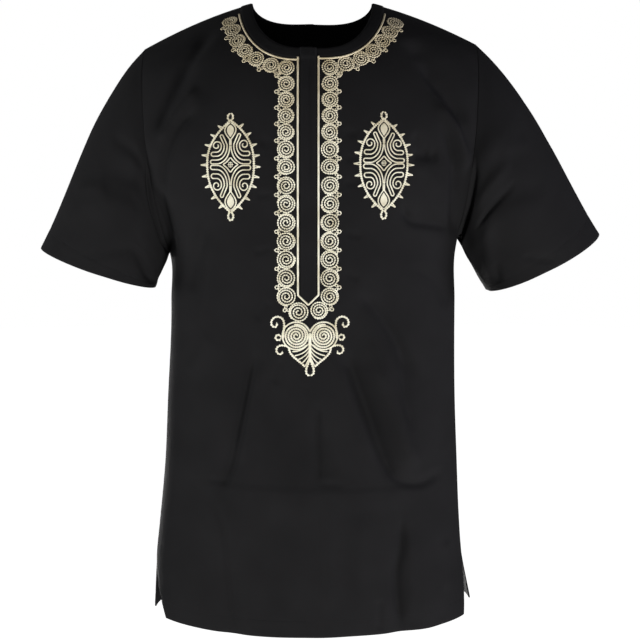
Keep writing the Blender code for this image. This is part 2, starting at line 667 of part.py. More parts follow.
def build_pendant(trees, gold):
    """The heart-shaped pendant under the placket: two round lobes above, and a point below."""
    aside = PENDANT_HALF_WIDTH * np.linspace(-1, 1, PENDANT_COLUMNS)[None, :]
    share = np.abs(aside) / PENDANT_HALF_WIDTH
    lobe = np.clip(1 - ((np.abs(aside) - LOBE_ASIDE) / LOBE_SPREAD) ** 2, 0, 1) ** 0.5
    top = PENDANT_RUN - LOBE_RADIUS * lobe
    bottom = mix(PENDANT_RUN + LOBE_DEPTH, PENDANT_POINT_RUN, (1 - share) ** PENDANT_POWER)
    run = mix(top, bottom, np.linspace(0, 1, PENDANT_ROWS)[:, None])
    pad("pendant", trees, FRONT, PENDANT_X + aside + 0 * run, run, gold)


def main():
    for obj in list(bpy.data.objects):
        bpy.data.objects.remove(obj)
    black = material("black_cotton", (0.010, 0.010, 0.011), 0.85)
    gold = material("pale_gold_thread", (0.62, 0.53, 0.36), 0.45)
    grids = build_panels(black)
    trees = {panel: facets(grids[panel][0]) for panel in grids}
    build_neckband(trees, black)
    build_placket(trees, black)
    build_lines(trees, gold)
    build_rosettes(trees, gold)
    build_medallions(trees, gold)
    build_pendant(trees, gold)


if __name__ == "__main__":
    main()
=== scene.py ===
"""The looks of a short-sleeved tunic shirt with an embroidered front, hollow, as it hangs on a wearer.

Lengths are metres, and millimetres where a class says so. +Z is up, the front faces -Y, and +X is on
the right of someone who faces the front.
The body cloth is a form worked out from a table of half widths and depths. A point of it is found from
x, how far it lies across, and run, how far it lies below the shoulder ridge along the cloth. The cloth
pieces are fine grids on that form, with their folds and creases pushed in or out. The embroidery is
thread that lies on the same form along paths of (x, run).
"""

from __future__ import annotations

import logging
import math
from collections.abc import Callable, Sequence
from dataclasses import dataclass
from enum import Enum

import bpy
import numpy as np
from numpy.typing import NDArray
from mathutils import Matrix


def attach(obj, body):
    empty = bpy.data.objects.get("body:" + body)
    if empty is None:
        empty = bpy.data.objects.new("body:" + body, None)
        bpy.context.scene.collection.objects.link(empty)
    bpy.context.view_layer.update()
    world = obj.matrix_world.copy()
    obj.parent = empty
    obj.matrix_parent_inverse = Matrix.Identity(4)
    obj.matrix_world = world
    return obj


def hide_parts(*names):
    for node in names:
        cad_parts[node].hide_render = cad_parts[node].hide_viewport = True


Array = NDArray[np.float64]
Indices = NDArray[np.int64]
Point = tuple[float, float]
Lift = Callable[[Array, Array], Array]
Shape = tuple[Array, list, Array]
Material = bpy.types.Material
Socket = bpy.types.NodeSocket

LOG = logging.getLogger("tunic")
BODY = "root"
PATTERN = "cloth"
MM = 0.001

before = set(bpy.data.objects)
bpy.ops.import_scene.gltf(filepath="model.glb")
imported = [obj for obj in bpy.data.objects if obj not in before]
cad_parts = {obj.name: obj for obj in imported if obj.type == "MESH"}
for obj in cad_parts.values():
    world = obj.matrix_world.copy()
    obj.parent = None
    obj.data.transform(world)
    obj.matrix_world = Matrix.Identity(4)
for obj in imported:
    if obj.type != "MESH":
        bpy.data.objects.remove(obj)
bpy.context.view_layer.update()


class Panel(Enum):
    """The two body panels, each with the sign of the way that it faces along Y."""

    FRONT = -1
    BACK = 1


class Slot(Enum):
    """The record's material slots."""

    COTTON = "black_cotton"
    THREAD = "gold_thread"


@dataclass(frozen=True)
class Side:
    """One side of the tunic: where its seams run, and the place and size of its cuff.

    A slit is how far the hem's corner stands before or behind the side, as a share of the form's depth.
    The rise lifts that corner of the front, and the flare drops that of the back. The puffs bow the sleeve
    out, the cap's at its top and the other at its front and back.
    """

    sign: int
    shoulder_half_width: float
    shoulder_drop: float
    armpit_run: float
    armpit_half_width: float
    front_slit: float
    front_rise: float
    cuff: tuple[float, float, float]
    cuff_half_width: float
    cuff_tilt: float
    cuff_dip: float
    cap_puff: float
    back_slit: float = 0.06
    flare: float = 0.005
    cuff_half_depth: float = 0.064
    puff: float = 0.040


WEARER_RIGHT = Side(
    sign=-1,
    shoulder_half_width=0.2120,
    shoulder_drop=0.057,
    armpit_run=0.352,
    armpit_half_width=0.1824,
    front_slit=0.56,
    front_rise=0.006,
    cuff=(-0.2733, -0.014, -0.3315),
    cuff_half_width=0.0771,
    cuff_tilt=math.radians(19.3),
    cuff_dip=0.001,
    cap_puff=0.088,
)
WEARER_LEFT = Side(
    sign=1,
    shoulder_half_width=0.2070,
    shoulder_drop=0.051,
    armpit_run=0.332,
    armpit_half_width=0.1830,
    front_slit=0.45,
    front_rise=0.001,
    cuff=(0.2931, -0.014, -0.3241),
    cuff_half_width=0.0801,
    cuff_tilt=math.radians(27.0),
    cuff_dip=0.006,
    cap_puff=0.090,
    flare=0.0,
)


@dataclass(frozen=True)
class Station:
    """The form's half widths and depths at one drop below the shoulder ridge."""

    drop: float
    half_left: float
    half_right: float
    front_depth: float
    back_depth: float


STATIONS = (
    Station(0.000, 0.2370, 0.2320, 0.124, 0.112),
    Station(0.100, 0.2420, 0.2390, 0.124, 0.116),
    Station(0.180, 0.2380, 0.2330, 0.126, 0.118),
    Station(0.240, 0.2180, 0.2110, 0.128, 0.114),
    Station(0.275, 0.1990, 0.1910, 0.128, 0.111),
    Station(0.310, 0.1830, 0.1828, 0.128, 0.108),
    Station(0.375, 0.1810, 0.1826, 0.128, 0.106),
    Station(0.500, 0.1868, 0.1840, 0.133, 0.112),
    Station(0.580, 0.1910, 0.1872, 0.139, 0.120),
    Station(0.660, 0.1990, 0.1910, 0.145, 0.128),
    Station(0.700, 0.2035, 0.1940, 0.148, 0.132),
    Station(0.777, 0.2088, 0.2085, 0.153, 0.138),
)


@dataclass(frozen=True)
class Crease:
    """A soft ridge of cloth, or a trough where its height is negative, along a path of (x, run)."""

    path: tuple[Point, ...]
    width: float
    height: float


# The large folds, which the solids have too
FRONT_FOLDS = (
    Crease(((-0.066, 0.435), (-0.121, 0.690)), 0.016, -0.0035),
    Crease(((-0.040, 0.450), (-0.080, 0.640)), 0.020, 0.0025),
    Crease(((0.010, 0.520), (0.010, 0.640)), 0.014, -0.0025),
    Crease(((0.042, 0.425), (0.100, 0.645)), 0.018, -0.0050),
    Crease(((0.066, 0.405), (0.130, 0.610)), 0.016, 0.0045),
    Crease(((0.070, 0.370), (0.135, 0.520)), 0.014, -0.0030),
    Crease(((-0.140, 0.642), (0.130, 0.646)), 0.014, 0.0012),
    Crease(((0.108, 0.655), (0.112, 0.930)), 0.014, -0.0045),
    Crease(((0.140, 0.680), (0.146, 0.940)), 0.016, 0.0040),
    Crease(((-0.100, 0.690), (-0.099, 0.940)), 0.015, -0.0035),
    Crease(((0.016, 0.640), (0.016, 0.940)), 0.022, 0.0025),
    Crease(((-0.145, 0.105), (-0.196, 0.215)), 0.013, -0.0035),
    Crease(((-0.132, 0.155), (-0.188, 0.290)), 0.013, 0.0030),
    Crease(((-0.130, 0.290), (-0.157, 0.430)), 0.016, -0.0030),
    Crease(((0.152, 0.145), (0.198, 0.240)), 0.013, 0.0040),
    Crease(((0.120, 0.214), (0.176, 0.230)), 0.012, -0.0030),
    Crease(((0.105, 0.286), (0.178, 0.322)), 0.012, -0.0032),
)
BACK_FOLDS = (
    Crease(((-0.115, 0.130), (-0.180, 0.290)), 0.018, -0.0045),
    Crease(((0.098, 0.120), (0.172, 0.268)), 0.018, -0.0045),
    Crease(((-0.060, 0.330), (-0.094, 0.930)), 0.022, -0.0060),
    Crease(((0.048, 0.360), (0.078, 0.940)), 0.024, -0.0060),
    Crease(((-0.010, 0.420), (0.000, 0.960)), 0.026, 0.0050),
    Crease(((-0.150, 0.455), (-0.030, 0.520)), 0.018, 0.0045),
    Crease(((0.030, 0.515), (0.155, 0.440)), 0.018, 0.0045),
    Crease(((-0.140, 0.560), (-0.020, 0.590)), 0.018, -0.0030),
    Crease(((0.126, 0.560), (0.136, 0.950)), 0.020, -0.0045),
    Crease(((-0.142, 0.640), (-0.150, 0.960)), 0.018, 0.0040),
)

# The sharper creases and puckers, which only this file has
FRONT_CREASES = (
    Crease(
        ((-0.186, 0.6330), (-0.146, 0.6275), (-0.111, 0.6255), (-0.052, 0.6280), (0.016, 0.6312)),
        0.0040, -0.0004,
    ),
    Crease(((-0.006, 0.6303), (0.059, 0.6330), (0.109, 0.6335), (0.172, 0.6350)), 0.0040, -0.0005),
    Crease(((-0.150, 0.6325), (0.000, 0.6370), (0.140, 0.6390)), 0.0045, 0.0005),
    Crease(((-0.130, 0.6258), (-0.106, 0.6250)), 0.0040, -0.0018),
    Crease(((0.006, 0.6262), (0.040, 0.6270)), 0.0036, -0.0013),
    Crease(
        ((-0.0690, 0.4550), (-0.0820, 0.5230), (-0.0990, 0.5980), (-0.1090, 0.6260), (-0.1190, 0.6480)),
        0.0052, -0.0048,
    ),
    Crease(((-0.0600, 0.4700), (-0.0740, 0.5350), (-0.0900, 0.6050)), 0.0080, 0.0042),
    Crease(((-0.1220, 0.6480), (-0.1090, 0.6860), (-0.1030, 0.7380), (-0.0960, 0.8100)), 0.0048, -0.0028),
    Crease(((0.0070, 0.5230), (0.0070, 0.5720), (0.0088, 0.6290)), 0.0042, -0.0039),
    Crease(((0.0160, 0.5600), (0.0200, 0.6220)), 0.0080, -0.0014),
    Crease(
        ((0.0400, 0.4550), (0.0490, 0.4850), (0.0690, 0.5370), (0.0940, 0.6020), (0.1070, 0.6250)),
        0.0090, -0.0074,
    ),
    Crease(((0.0900, 0.5960), (0.1060, 0.6235), (0.1370, 0.6330), (0.1680, 0.6210)), 0.0060, -0.0050),
    Crease(((0.0740, 0.4700), (0.1000, 0.5390), (0.1220, 0.5970), (0.1400, 0.6170)), 0.0105, 0.0056),
    Crease(((0.0310, 0.4650), (0.0500, 0.5350), (0.0800, 0.6050)), 0.0085, 0.0023),
    Crease(((0.0560, 0.3850), (0.0860, 0.4250), (0.1065, 0.4580), (0.1290, 0.5050)), 0.0075, -0.0042),
    Crease(((0.1050, 0.4600), (0.1120, 0.4950), (0.1150, 0.5300), (0.1260, 0.5700)), 0.0070, -0.0034),
    Crease(((0.1110, 0.6650), (0.1120, 0.7140), (0.1078, 0.7330), (0.1130, 0.8150)), 0.0050, -0.0048),
    Crease(((0.1220, 0.6900), (0.1230, 0.8100)), 0.0080, 0.0023),
    Crease(((0.0840, 0.7700), (0.0845, 0.8150)), 0.0050, -0.0023),
    Crease(((0.1680, 0.7100), (0.1690, 0.7800)), 0.0055, 0.0027),
    Crease(((0.0100, 0.6370), (0.0110, 0.7200), (0.0125, 0.7900)), 0.0060, -0.0012),
    Crease(((0.0200, 0.6400), (0.0210, 0.7900)), 0.0090, 0.0017),
    Crease(((-0.0350, 0.6500), (-0.0400, 0.8000)), 0.0120, -0.0015),
    Crease(((0.0600, 0.6600), (0.0580, 0.8000)), 0.0110, 0.0015),
    Crease(((-0.1200, 0.0480), (-0.1590, 0.1150), (-0.1800, 0.1550), (-0.1960, 0.2030)), 0.0110, -0.0056),
    Crease(((-0.1360, 0.1430), (-0.1670, 0.1730), (-0.1910, 0.2100)), 0.0080, 0.0042),
    Crease(((-0.1340, 0.1690), (-0.1610, 0.1920), (-0.1770, 0.2220), (-0.1850, 0.2740)), 0.0062, -0.0056),
    Crease(((-0.1890, 0.2620), (-0.1835, 0.3140), (-0.1760, 0.3560)), 0.0085, -0.0064),
    Crease(((-0.1300, 0.3020), (-0.1420, 0.3420), (-0.1540, 0.4000)), 0.0080, -0.0034),
    Crease(((-0.1180, 0.3200), (-0.1280, 0.3700), (-0.1350, 0.4400)), 0.0100, 0.0023),
    Crease(
        ((0.1300, 0.1060), (0.1480, 0.1340), (0.1660, 0.1550), (0.1830, 0.1830), (0.1950, 0.2300)),
        0.0080, -0.0052,
    ),
    Crease(((0.1440, 0.1660), (0.1650, 0.1770), (0.1820, 0.2100), (0.1900, 0.2500)), 0.0065, 0.0045),
    Crease(
        ((0.1530, 0.1830), (0.1700, 0.2110), (0.1760, 0.2450), (0.1765, 0.2820), (0.1800, 0.3340)),
        0.0075, -0.0066,
    ),
    Crease(((0.1150, 0.0780), (0.1550, 0.1250), (0.1880, 0.1900)), 0.0160, -0.0060),
    Crease(((-0.0030, 0.1150), (-0.0030, 0.1800), (-0.0022, 0.2650)), 0.0024, -0.0010),
    Crease(((0.1200, 0.2050), (0.1330, 0.2165), (0.1450, 0.2260)), 0.0045, -0.0036),
    Crease(((0.1200, 0.2235), (0.1370, 0.2275), (0.1560, 0.2255)), 0.0048, -0.0044),
    Crease(((0.1180, 0.2390), (0.1400, 0.2460), (0.1580, 0.2700)), 0.0090, 0.0019),
    Crease(((0.1090, 0.2850), (0.1200, 0.3040), (0.1450, 0.3105), (0.1760, 0.3170)), 0.0050, -0.0052),
    Crease(((0.1200, 0.3600), (0.1550, 0.3850), (0.1700, 0.4200)), 0.0080, -0.0019),
    Crease(((-0.1200, 0.4450), (-0.1550, 0.5000)), 0.0100, 0.0019),
    Crease(((0.0395, 0.2050), (0.0560, 0.2080)), 0.0035, -0.0017),
    Crease(((0.0390, 0.2290), (0.0530, 0.2320)), 0.0035, -0.0015),
    Crease(((0.0390, 0.2560), (0.0540, 0.2590)), 0.0035, -0.0015),
    Crease(((0.0390, 0.3180), (0.0620, 0.3230)), 0.0040, -0.0017),
    Crease(((0.0400, 0.3660), (0.0580, 0.3760)), 0.0040, -0.0017),
    Crease(((-0.0480, 0.2130), (-0.0640, 0.2160)), 0.0035, -0.0015),
    Crease(((-0.0480, 0.2700), (-0.0680, 0.2740)), 0.0035, -0.0015),
    Crease(((-0.0490, 0.3350), (-0.0700, 0.3430)), 0.0040, -0.0017),
    Crease(((-0.0500, 0.4000), (-0.0700, 0.4250)), 0.0050, -0.0017),
    Crease(((0.0330, 0.4600), (0.0440, 0.4900)), 0.0050, -0.0017),
    Crease(((-0.0380, 0.4700), (-0.0460, 0.5050)), 0.0050, -0.0017),
    Crease(((-0.0060, 0.5010), (-0.0020, 0.5360)), 0.0050, -0.0015),
)
BACK_CREASES = (
    Crease(((-0.060, 0.360), (-0.076, 0.600), (-0.090, 0.815)), 0.0080, -0.0042),
    Crease(((0.050, 0.390), (0.062, 0.600), (0.074, 0.815)), 0.0085, -0.0042),
    Crease(((-0.112, 0.140), (-0.150, 0.215), (-0.176, 0.280)), 0.0075, -0.0034),
    Crease(((0.100, 0.130), (0.140, 0.195), (0.168, 0.262)), 0.0075, -0.0034),
    Crease(((-0.160, 0.440), (-0.090, 0.500), (-0.020, 0.516)), 0.0070, 0.0027),
    Crease(((0.160, 0.430), (0.090, 0.490), (0.022, 0.512)), 0.0070, 0.0027),
    Crease(((-0.150, 0.6300), (0.000, 0.6340), (0.150, 0.6310)), 0.0040, -0.0021),
    Crease(((-0.070, 0.120), (0.000, 0.132), (0.070, 0.120)), 0.0080, -0.0017),
    Crease(((-0.120, 0.330), (-0.150, 0.420)), 0.0080, -0.0027),
    Crease(((0.118, 0.320), (0.150, 0.400)), 0.0080, -0.0027),
    Crease(((0.010, 0.640), (0.006, 0.800)), 0.0090, -0.0023),
    Crease(((0.128, 0.600), (0.134, 0.812)), 0.0070, -0.0034),
    Crease(((-0.128, 0.660), (-0.134, 0.812)), 0.0070, -0.0027),
)


@dataclass(frozen=True)
class SleeveCrease:
    """A straight ridge or trough of a sleeve, from one (angle, along) to another.

    The angle is 0 on top and 90 in front, in degrees, and along goes from 0 at the armhole to 1 at the cuff.
    """

    angle0: float
    along0: float
    angle1: float
    along1: float
    width: float
    height: float


RIGHT_SLEEVE_CREASES = (
    SleeveCrease(55, 0.45, 105, 0.10, 0.012, -0.0030),
    SleeveCrease(35, 0.80, 100, 0.30, 0.016, 0.0030),
    SleeveCrease(95, 1.20, 135, 0.15, 0.014, -0.0030),
    SleeveCrease(245, 0.15, 300, 0.65, 0.014, -0.0035),
    SleeveCrease(262, 0.45, 300, 1.20, 0.016, 0.0030),
    SleeveCrease(44, 0.28, 95, 0.05, 0.0060, -0.0022),
    SleeveCrease(62, 0.50, 112, 0.22, 0.0080, -0.0014),
    SleeveCrease(96, 0.03, 176, 0.05, 0.0130, -0.0080),
    SleeveCrease(122, 0.55, 164, 0.92, 0.0140, -0.0045),
    SleeveCrease(30, 0.66, 66, 0.46, 0.0070, 0.0019),
    SleeveCrease(80, 0.92, 120, 0.60, 0.0070, -0.0023),
    SleeveCrease(240, 0.40, 290, 0.20, 0.0065, -0.0029),
    SleeveCrease(255, 0.90, 300, 0.60, 0.0070, -0.0023),
)
LEFT_SLEEVE_CREASES = (
    SleeveCrease(50, 0.60, 120, 0.25, 0.013, -0.0035),
    SleeveCrease(40, 0.30, 100, 0.05, 0.014, 0.0030),
    SleeveCrease(85, 1.20, 125, 0.40, 0.015, -0.0030),
    SleeveCrease(250, 0.10, 305, 0.60, 0.014, -0.0035),
    SleeveCrease(240, 0.40, 285, 1.20, 0.016, 0.0030),
    SleeveCrease(72, 0.43, 134, 0.25, 0.0052, -0.0040),
    SleeveCrease(66, 0.34, 120, 0.15, 0.0090, 0.0034),
    SleeveCrease(96, 0.03, 176, 0.06, 0.0130, -0.0085),
    SleeveCrease(134, 0.68, 142, 0.92, 0.0060, -0.0030),
    SleeveCrease(118, 0.30, 150, 0.80, 0.0130, 0.0030),
    SleeveCrease(38, 0.40, 70, 0.22, 0.0070, 0.0019),
    SleeveCrease(84, 0.96, 104, 0.80, 0.0050, -0.0027),
    SleeveCrease(245, 0.42, 292, 0.20, 0.0065, -0.0029),
    SleeveCrease(250, 0.92, 296, 0.62, 0.0070, -0.0023),
)
# Metres of a sleeve's cloth: for each degree round it, and from its armhole to its cuff
DEGREE = 0.0013
SLEEVE_REACH = 0.25


def mix(a: Array | float, b: Array | float, t: Array | float) -> Array:
    """The value a share t of the way from a to b."""
    return a + (b - a) * t


def unit(vectors: Array) -> Array:
    """Each vector divided by its own length."""
    return vectors / np.maximum(np.linalg.norm(vectors, axis=-1, keepdims=True), 1e-12)


def ease(t: Array) -> Array:
    """A smooth step: 3t^2 - 2t^3, held at 0 before 0 and at 1 after 1."""
    t = np.clip(t, 0, 1)
    return t * t * (3 - 2 * t)


def bell(away: Array, width: float) -> Array:
    """A bell that is 1 at 0 and falls off with the width: exp(-(away / width)^2)."""
    return np.exp(-((away / width) ** 2))


def smooth(knots: Sequence[float], values: Sequence[float], at: Array) -> Array:
    """The value at each place of a smooth curve through a table.

    Each span is the cubic through its two values with the slopes that the neighbouring values give.

    Args:
        knots: The places of the table's values, in rising order.
        values: The values at those places.
        at: The places to read.

    Returns:
        The curve's value at each place.
    """
    places = np.asarray(knots, float)
    heights = np.asarray(values, float)
    slopes = np.gradient(heights, places)
    at = np.clip(at, places[0], places[-1])
    i = np.clip(np.searchsorted(places, at) - 1, 0, len(places) - 2)
    span = places[i + 1] - places[i]
    t = (at - places[i]) / span
    return (
        heights[i] * (2 * t**3 - 3 * t**2 + 1)
        + heights[i + 1] * (3 * t**2 - 2 * t**3)
        + slopes[i] * span * (t**3 - 2 * t**2 + t)
        + slopes[i + 1] * span * (t**3 - t**2)
    )


def distances(path: Array) -> Array:
    """How far along a path each of its points lies."""
    return np.concatenate([[0], np.cumsum(np.linalg.norm(np.diff(path, axis=0), axis=1))])


def sample(values: Array, length: Array, at: Array) -> Array:
    """The rows of values, known at the distances length, read at other distances."""
    return np.stack([np.interp(at, length, column) for column in values.T], axis=1)


def curve(points: Sequence[Point], count: int) -> Array:
    """A smooth path of count points through a few, each coordinate a table curve over the chord length.

    Args:
        points: The points that the path passes through.
        count: How many points the path gets.

    Returns:
        The path, one point a row.
    """
    through = np.asarray(points, float)
    chord = distances(through)
    at = np.linspace(0, chord[-1], count)
    return np.stack([smooth(chord, column, at) for column in through.T], axis=1)


def evenly(path: Array, count: int) -> Array:
    """The same path with count points at equal steps along it."""
    length = distances(path)
    return sample(path, length, np.linspace(0, length[-1], count))


def arc(centre: Point, radius: float, start: float, end: float, count: int = 40) -> Array:
    """Part of a circle, as count points. Angles are degrees from +u towards +v, which points down."""
    angle = np.radians(np.linspace(start, end, count))
    return np.stack([centre[0] + radius * np.cos(angle), centre[1] + radius * np.sin(angle)], axis=1)


def ridge(dx: Array, dy: Array, across: float, along: float, width: float, height: float) -> Array:
    """A straight ridge: a bell across its line, times 1 - |2a - 1|^3 at the share a of the way along it.

    Args:
        dx: Distance from the line's start across.
        dy: Distance from the line's start along the cloth.
        across: The line's reach across.
        along: The line's reach along the cloth.
        width: Half width of the bell.
        height: Height of the ridge.

    Returns:
        The height at each place.
    """
    length = math.hypot(across, along)
    ahead = (dx * across + dy * along) / length**2
    aside = (dx * along - dy * across) / length
    ends = np.clip(1 - np.abs(2 * ahead - 1) ** 3, 0, 1)
    return height * ends * bell(aside, width)


def crease_height(crease: Crease, x: Array, run: Array) -> Array:
    """The height of one crease at (x, run).

    It is a bell of the distance to the crease's smooth path, and it rises from 0 at the path's ends to
    its full height over a fifth of the length.

    Args:
        crease: The crease.
        x: Places across.
        run: Places along the cloth.

    Returns:
        The height at each place.
    """
    path = curve(crease.path, 120)
    margin = 3 * crease.width
    near = (
        (x > path[:, 0].min() - margin)
        & (x < path[:, 0].max() + margin)
        & (run > path[:, 1].min() - margin)
        & (run < path[:, 1].max() + margin)
    )
    height = np.zeros(x.shape)
    if near.any():
        away = np.hypot(x[near][:, None] - path[:, 0], run[near][:, None] - path[:, 1])
        share = np.argmin(away, axis=1) / (len(path) - 1)
        ends = ease(np.minimum(share, 1 - share) / 0.2)
        height[near] = crease.height * ends * bell(away.min(axis=1), crease.width)
    return height


# Slow waves in cloth: radians a metre across and along it, the phase, and the share of the height
WAVES = (
    (31.0, 11.0, 0.4, 1.0),
    (-19.0, 37.0, 1.9, 0.8),
    (53.0, -23.0, 4.1, 0.5),
    (9.0, 71.0, 2.7, 0.4),
    (-83.0, -17.0, 5.3, 0.35),
)


def ripple(x: Array, run: Array, size: float) -> Array:
    """The unevenness of cloth on a wearer: a sum of slow waves, bent by one more, each size high at most.

    Args:
        x: Places across.
        run: Places along the cloth.
        size: The largest wave's height, from trough to crest.

    Returns:
        The height at each place.
    """
    bend = 0.8 * np.sin(27 * run + 13 * x)
    waves = [share * np.sin(across * x + along * run + phase + bend) for across, along, phase, share in WAVES]
    return size * sum(waves) / 2


@dataclass(frozen=True)
class TunicForm:
    """The shape that the body cloth takes, from x across and run down the cloth to a point."""

    body_length: float = 0.777
    chest_drop: float = 0.200
    chest_run: float = 0.240
    arch_slope: float = 0.18
    slope_power: float = 1.7
    section_power: float = 2.35
    slit_run: float = 0.725
    hem_tilt: float = 0.016
    hem_rise_power: int = 6
    armhole_power: int = 3
    armhole_spacing: float = 1.6
    neck_half_width: float = 0.0750
    neck_power: float = 2.70
    front_neck_run: float = 0.1175
    back_neck_run: float = 0.080
    chest_mid_run: float = 0.215
    seam_gap: float = -0.0004
    step: float = 0.0008
    ripple_size: float = 0.0005

    @property
    def hem_run(self) -> float:
        """The run of the hem."""
        return self.chest_run + self.body_length - self.chest_drop

    def neck_run(self, panel: Panel) -> float:
        """The run of the neckline in the middle of a panel."""
        return self.front_neck_run if panel is Panel.FRONT else self.back_neck_run

    def drop(self, run: Array) -> Array:
        """How far the middle of the cloth lies below the ridge: an arch to the chest, then straight down.

        Args:
            run: Places along the cloth.

        Returns:
            The drop at each place.
        """
        share = np.clip(run / self.chest_run, 0, 1)
        arch = mix(1 - np.cos(share * np.pi / 2), share, self.arch_slope)
        return self.chest_drop * arch + np.maximum(run - self.chest_run, 0)

    def station(self, column: str, drop: Array) -> Array:
        """One column of the table of stations at each drop."""
        return smooth([s.drop for s in STATIONS], [getattr(s, column) for s in STATIONS], drop)

    def half_width(self, x: Array, run: Array) -> Array:
        """Half the form's width on the side of x."""
        drop = self.drop(run)
        return np.where(x < 0, self.station("half_left", drop), self.station("half_right", drop))

    def shoulder_slope(self, x: Array) -> Array:
        """How far the shoulder ridge lies below the neck point at x: a power of x, zero at the neck.

        Args:
            x: Places across.

        Returns:
            The fall at each place.
        """
        width = np.where(x < 0, WEARER_RIGHT.shoulder_half_width, WEARER_LEFT.shoulder_half_width)
        fall = np.where(x < 0, WEARER_RIGHT.shoulder_drop, WEARER_LEFT.shoulder_drop)
        neck = (self.neck_half_width / width) ** self.slope_power
        return fall * ((np.abs(x) / width) ** self.slope_power - neck) / (1 - neck)

    def point(self, panel: Panel, x: Array, run: Array) -> Array:
        """The point of the unfolded form at (x, run).

        In plan it lies on the curve |x / half width|^p + |y / depth|^p = 1, and the depth grows from the
        shoulder ridge to the chest as the sine of a quarter turn.

        Args:
            panel: The front or the back.
            x: Places across.
            run: Places along the cloth.

        Returns:
            The points, with one more axis of x, y and z.
        """
        drop = self.drop(run)
        turn = np.clip(run / self.chest_run, 0, 1) * np.pi / 2
        depth = self.station("front_depth" if panel is Panel.FRONT else "back_depth", drop) * np.sin(turn)
        share = np.clip(np.abs(x) / self.half_width(x, run), 0, 1)
        section = (1 - share**self.section_power) ** (1 / self.section_power)
        y = panel.value * (depth * section + self.seam_gap / 2)
        z = -drop - self.shoulder_slope(x) * np.cos(turn) + self.hem_tilt * x * (drop / self.body_length) ** 2
        return np.stack([x, y, z], axis=-1)

    def steps(self, panel: Panel, x: Array, run: Array) -> tuple[Array, Array]:
        """The ways across and down the form at (x, run), between the points a step to each side.

        Args:
            panel: The front or the back.
            x: Places across.
            run: Places along the cloth.

        Returns:
            The two differences at each place.
        """
        across = self.point(panel, x + self.step, run) - self.point(panel, x - self.step, run)
        above = np.maximum(run - self.step, 0)
        return across, self.point(panel, x, run + self.step) - self.point(panel, x, above)

    def fold_height(self, panel: Panel, x: Array, run: Array) -> Array:
        """How far the folds and creases move the cloth out at (x, run).

        Args:
            panel: The front or the back.
            x: Places across.
            run: Places along the cloth.

        Returns:
            The height at each place.
        """
        folds, creases = (FRONT_FOLDS, FRONT_CREASES) if panel is Panel.FRONT else (BACK_FOLDS, BACK_CREASES)
        total = ripple(x, run, self.ripple_size) * ease((run - 0.05) / 0.1)
        for fold in folds:
            (x0, run0), (x1, run1) = fold.path
            total = total + ridge(x - x0, run - run0, x1 - x0, run1 - run0, fold.width, fold.height)
        for crease in creases:
            total = total + crease_height(crease, x, run)
        return total

    def cloth(self, panel: Panel, x: Array, run: Array) -> tuple[Array, Array]:
        """The points of the folded cloth at (x, run), and the outward directions there."""
        normals = unit(np.cross(*self.steps(panel, x, run)) * panel.value)
        return self.point(panel, x, run) + normals * self.fold_height(panel, x, run)[..., None], normals

    def ring(self, panel: Panel, angle: Array, out: Array | float) -> Array:
        """(x, run) on a ring round the neckline, out from its edge. The angle is 0 in the middle.

        Args:
            panel: The front or the back.
            angle: Angles in radians.
            out: Distances out from the edge.

        Returns:
            (x, run) at each angle.
        """
        x = (self.neck_half_width + out) * np.sign(angle) * np.abs(np.sin(angle)) ** (2 / self.neck_power)
        run = (self.neck_run(panel) + out) * np.abs(np.cos(angle)) ** (2 / self.neck_power)
        return np.stack([x, run], axis=-1)

    def ring_run(self, x: Array, out: float) -> Array:
        """The run at which the front's ring passes x."""
        share = np.clip(np.abs(x) / (self.neck_half_width + out), 0, 1)
        return (self.front_neck_run + out) * (1 - share**self.neck_power) ** (1 / self.neck_power)

    def metric(self, centre: Point) -> Array:
        """The 2 by 2 matrix from steps in (x, run) at a place to distances across and down the front.

        Args:
            centre: (x, run) of the place.

        Returns:
            The matrix.
        """
        across, down = (step[0] for step in self.steps(Panel.FRONT, *np.array([centre]).T))
        first = unit(across)
        second = unit(down - first * (down @ first))
        return np.array([[across @ first, down @ first], [0, down @ second]]) / (2 * self.step)

    def laid(self, centre: Point, local: Array) -> Array:
        """(x, run) of a small motif's points on the front, given as distances from its centre."""
        return np.array(centre) + local @ np.linalg.inv(self.metric(centre)).T

    def hung(self, centre: Point, local: Array) -> Array:
        """(x, run) of a large motif's points on the front: distances down follow the cloth at its centre.

        Args:
            centre: (x, run) of its centre.
            local: Its points, as distances from the centre.

        Returns:
            (x, run) of each point.
        """
        runs = np.linspace(0.02, self.hem_run, 800)
        length = distances(self.point(Panel.FRONT, np.full(runs.shape, centre[0]), runs))
        run = np.interp(np.interp(centre[1], runs, length) + local[:, 1], length, runs)
        across = self.steps(Panel.FRONT, *np.array([centre]).T)[0]
        return np.stack([centre[0] + local[:, 0] * 2 * self.step / np.linalg.norm(across), run], axis=1)


FORM = TunicForm()


def outward(points: Array, sign: int, wrap: bool) -> Array:
    """The outward direction at each point of a grid, from the points beside it. A tube's columns wrap.

    Args:
        points: The points by row and column.
        sign: 1, or -1 to turn the directions round.
        wrap: Whether the last column joins the first.

    Returns:
        A unit vector at each point.
    """
    down = np.gradient(points, axis=0)
    if wrap:
        across = np.roll(points, -1, axis=1) - np.roll(points, 1, axis=1)
    else:
        across = np.gradient(points, axis=1)
    return unit(np.cross(across, down) * sign)


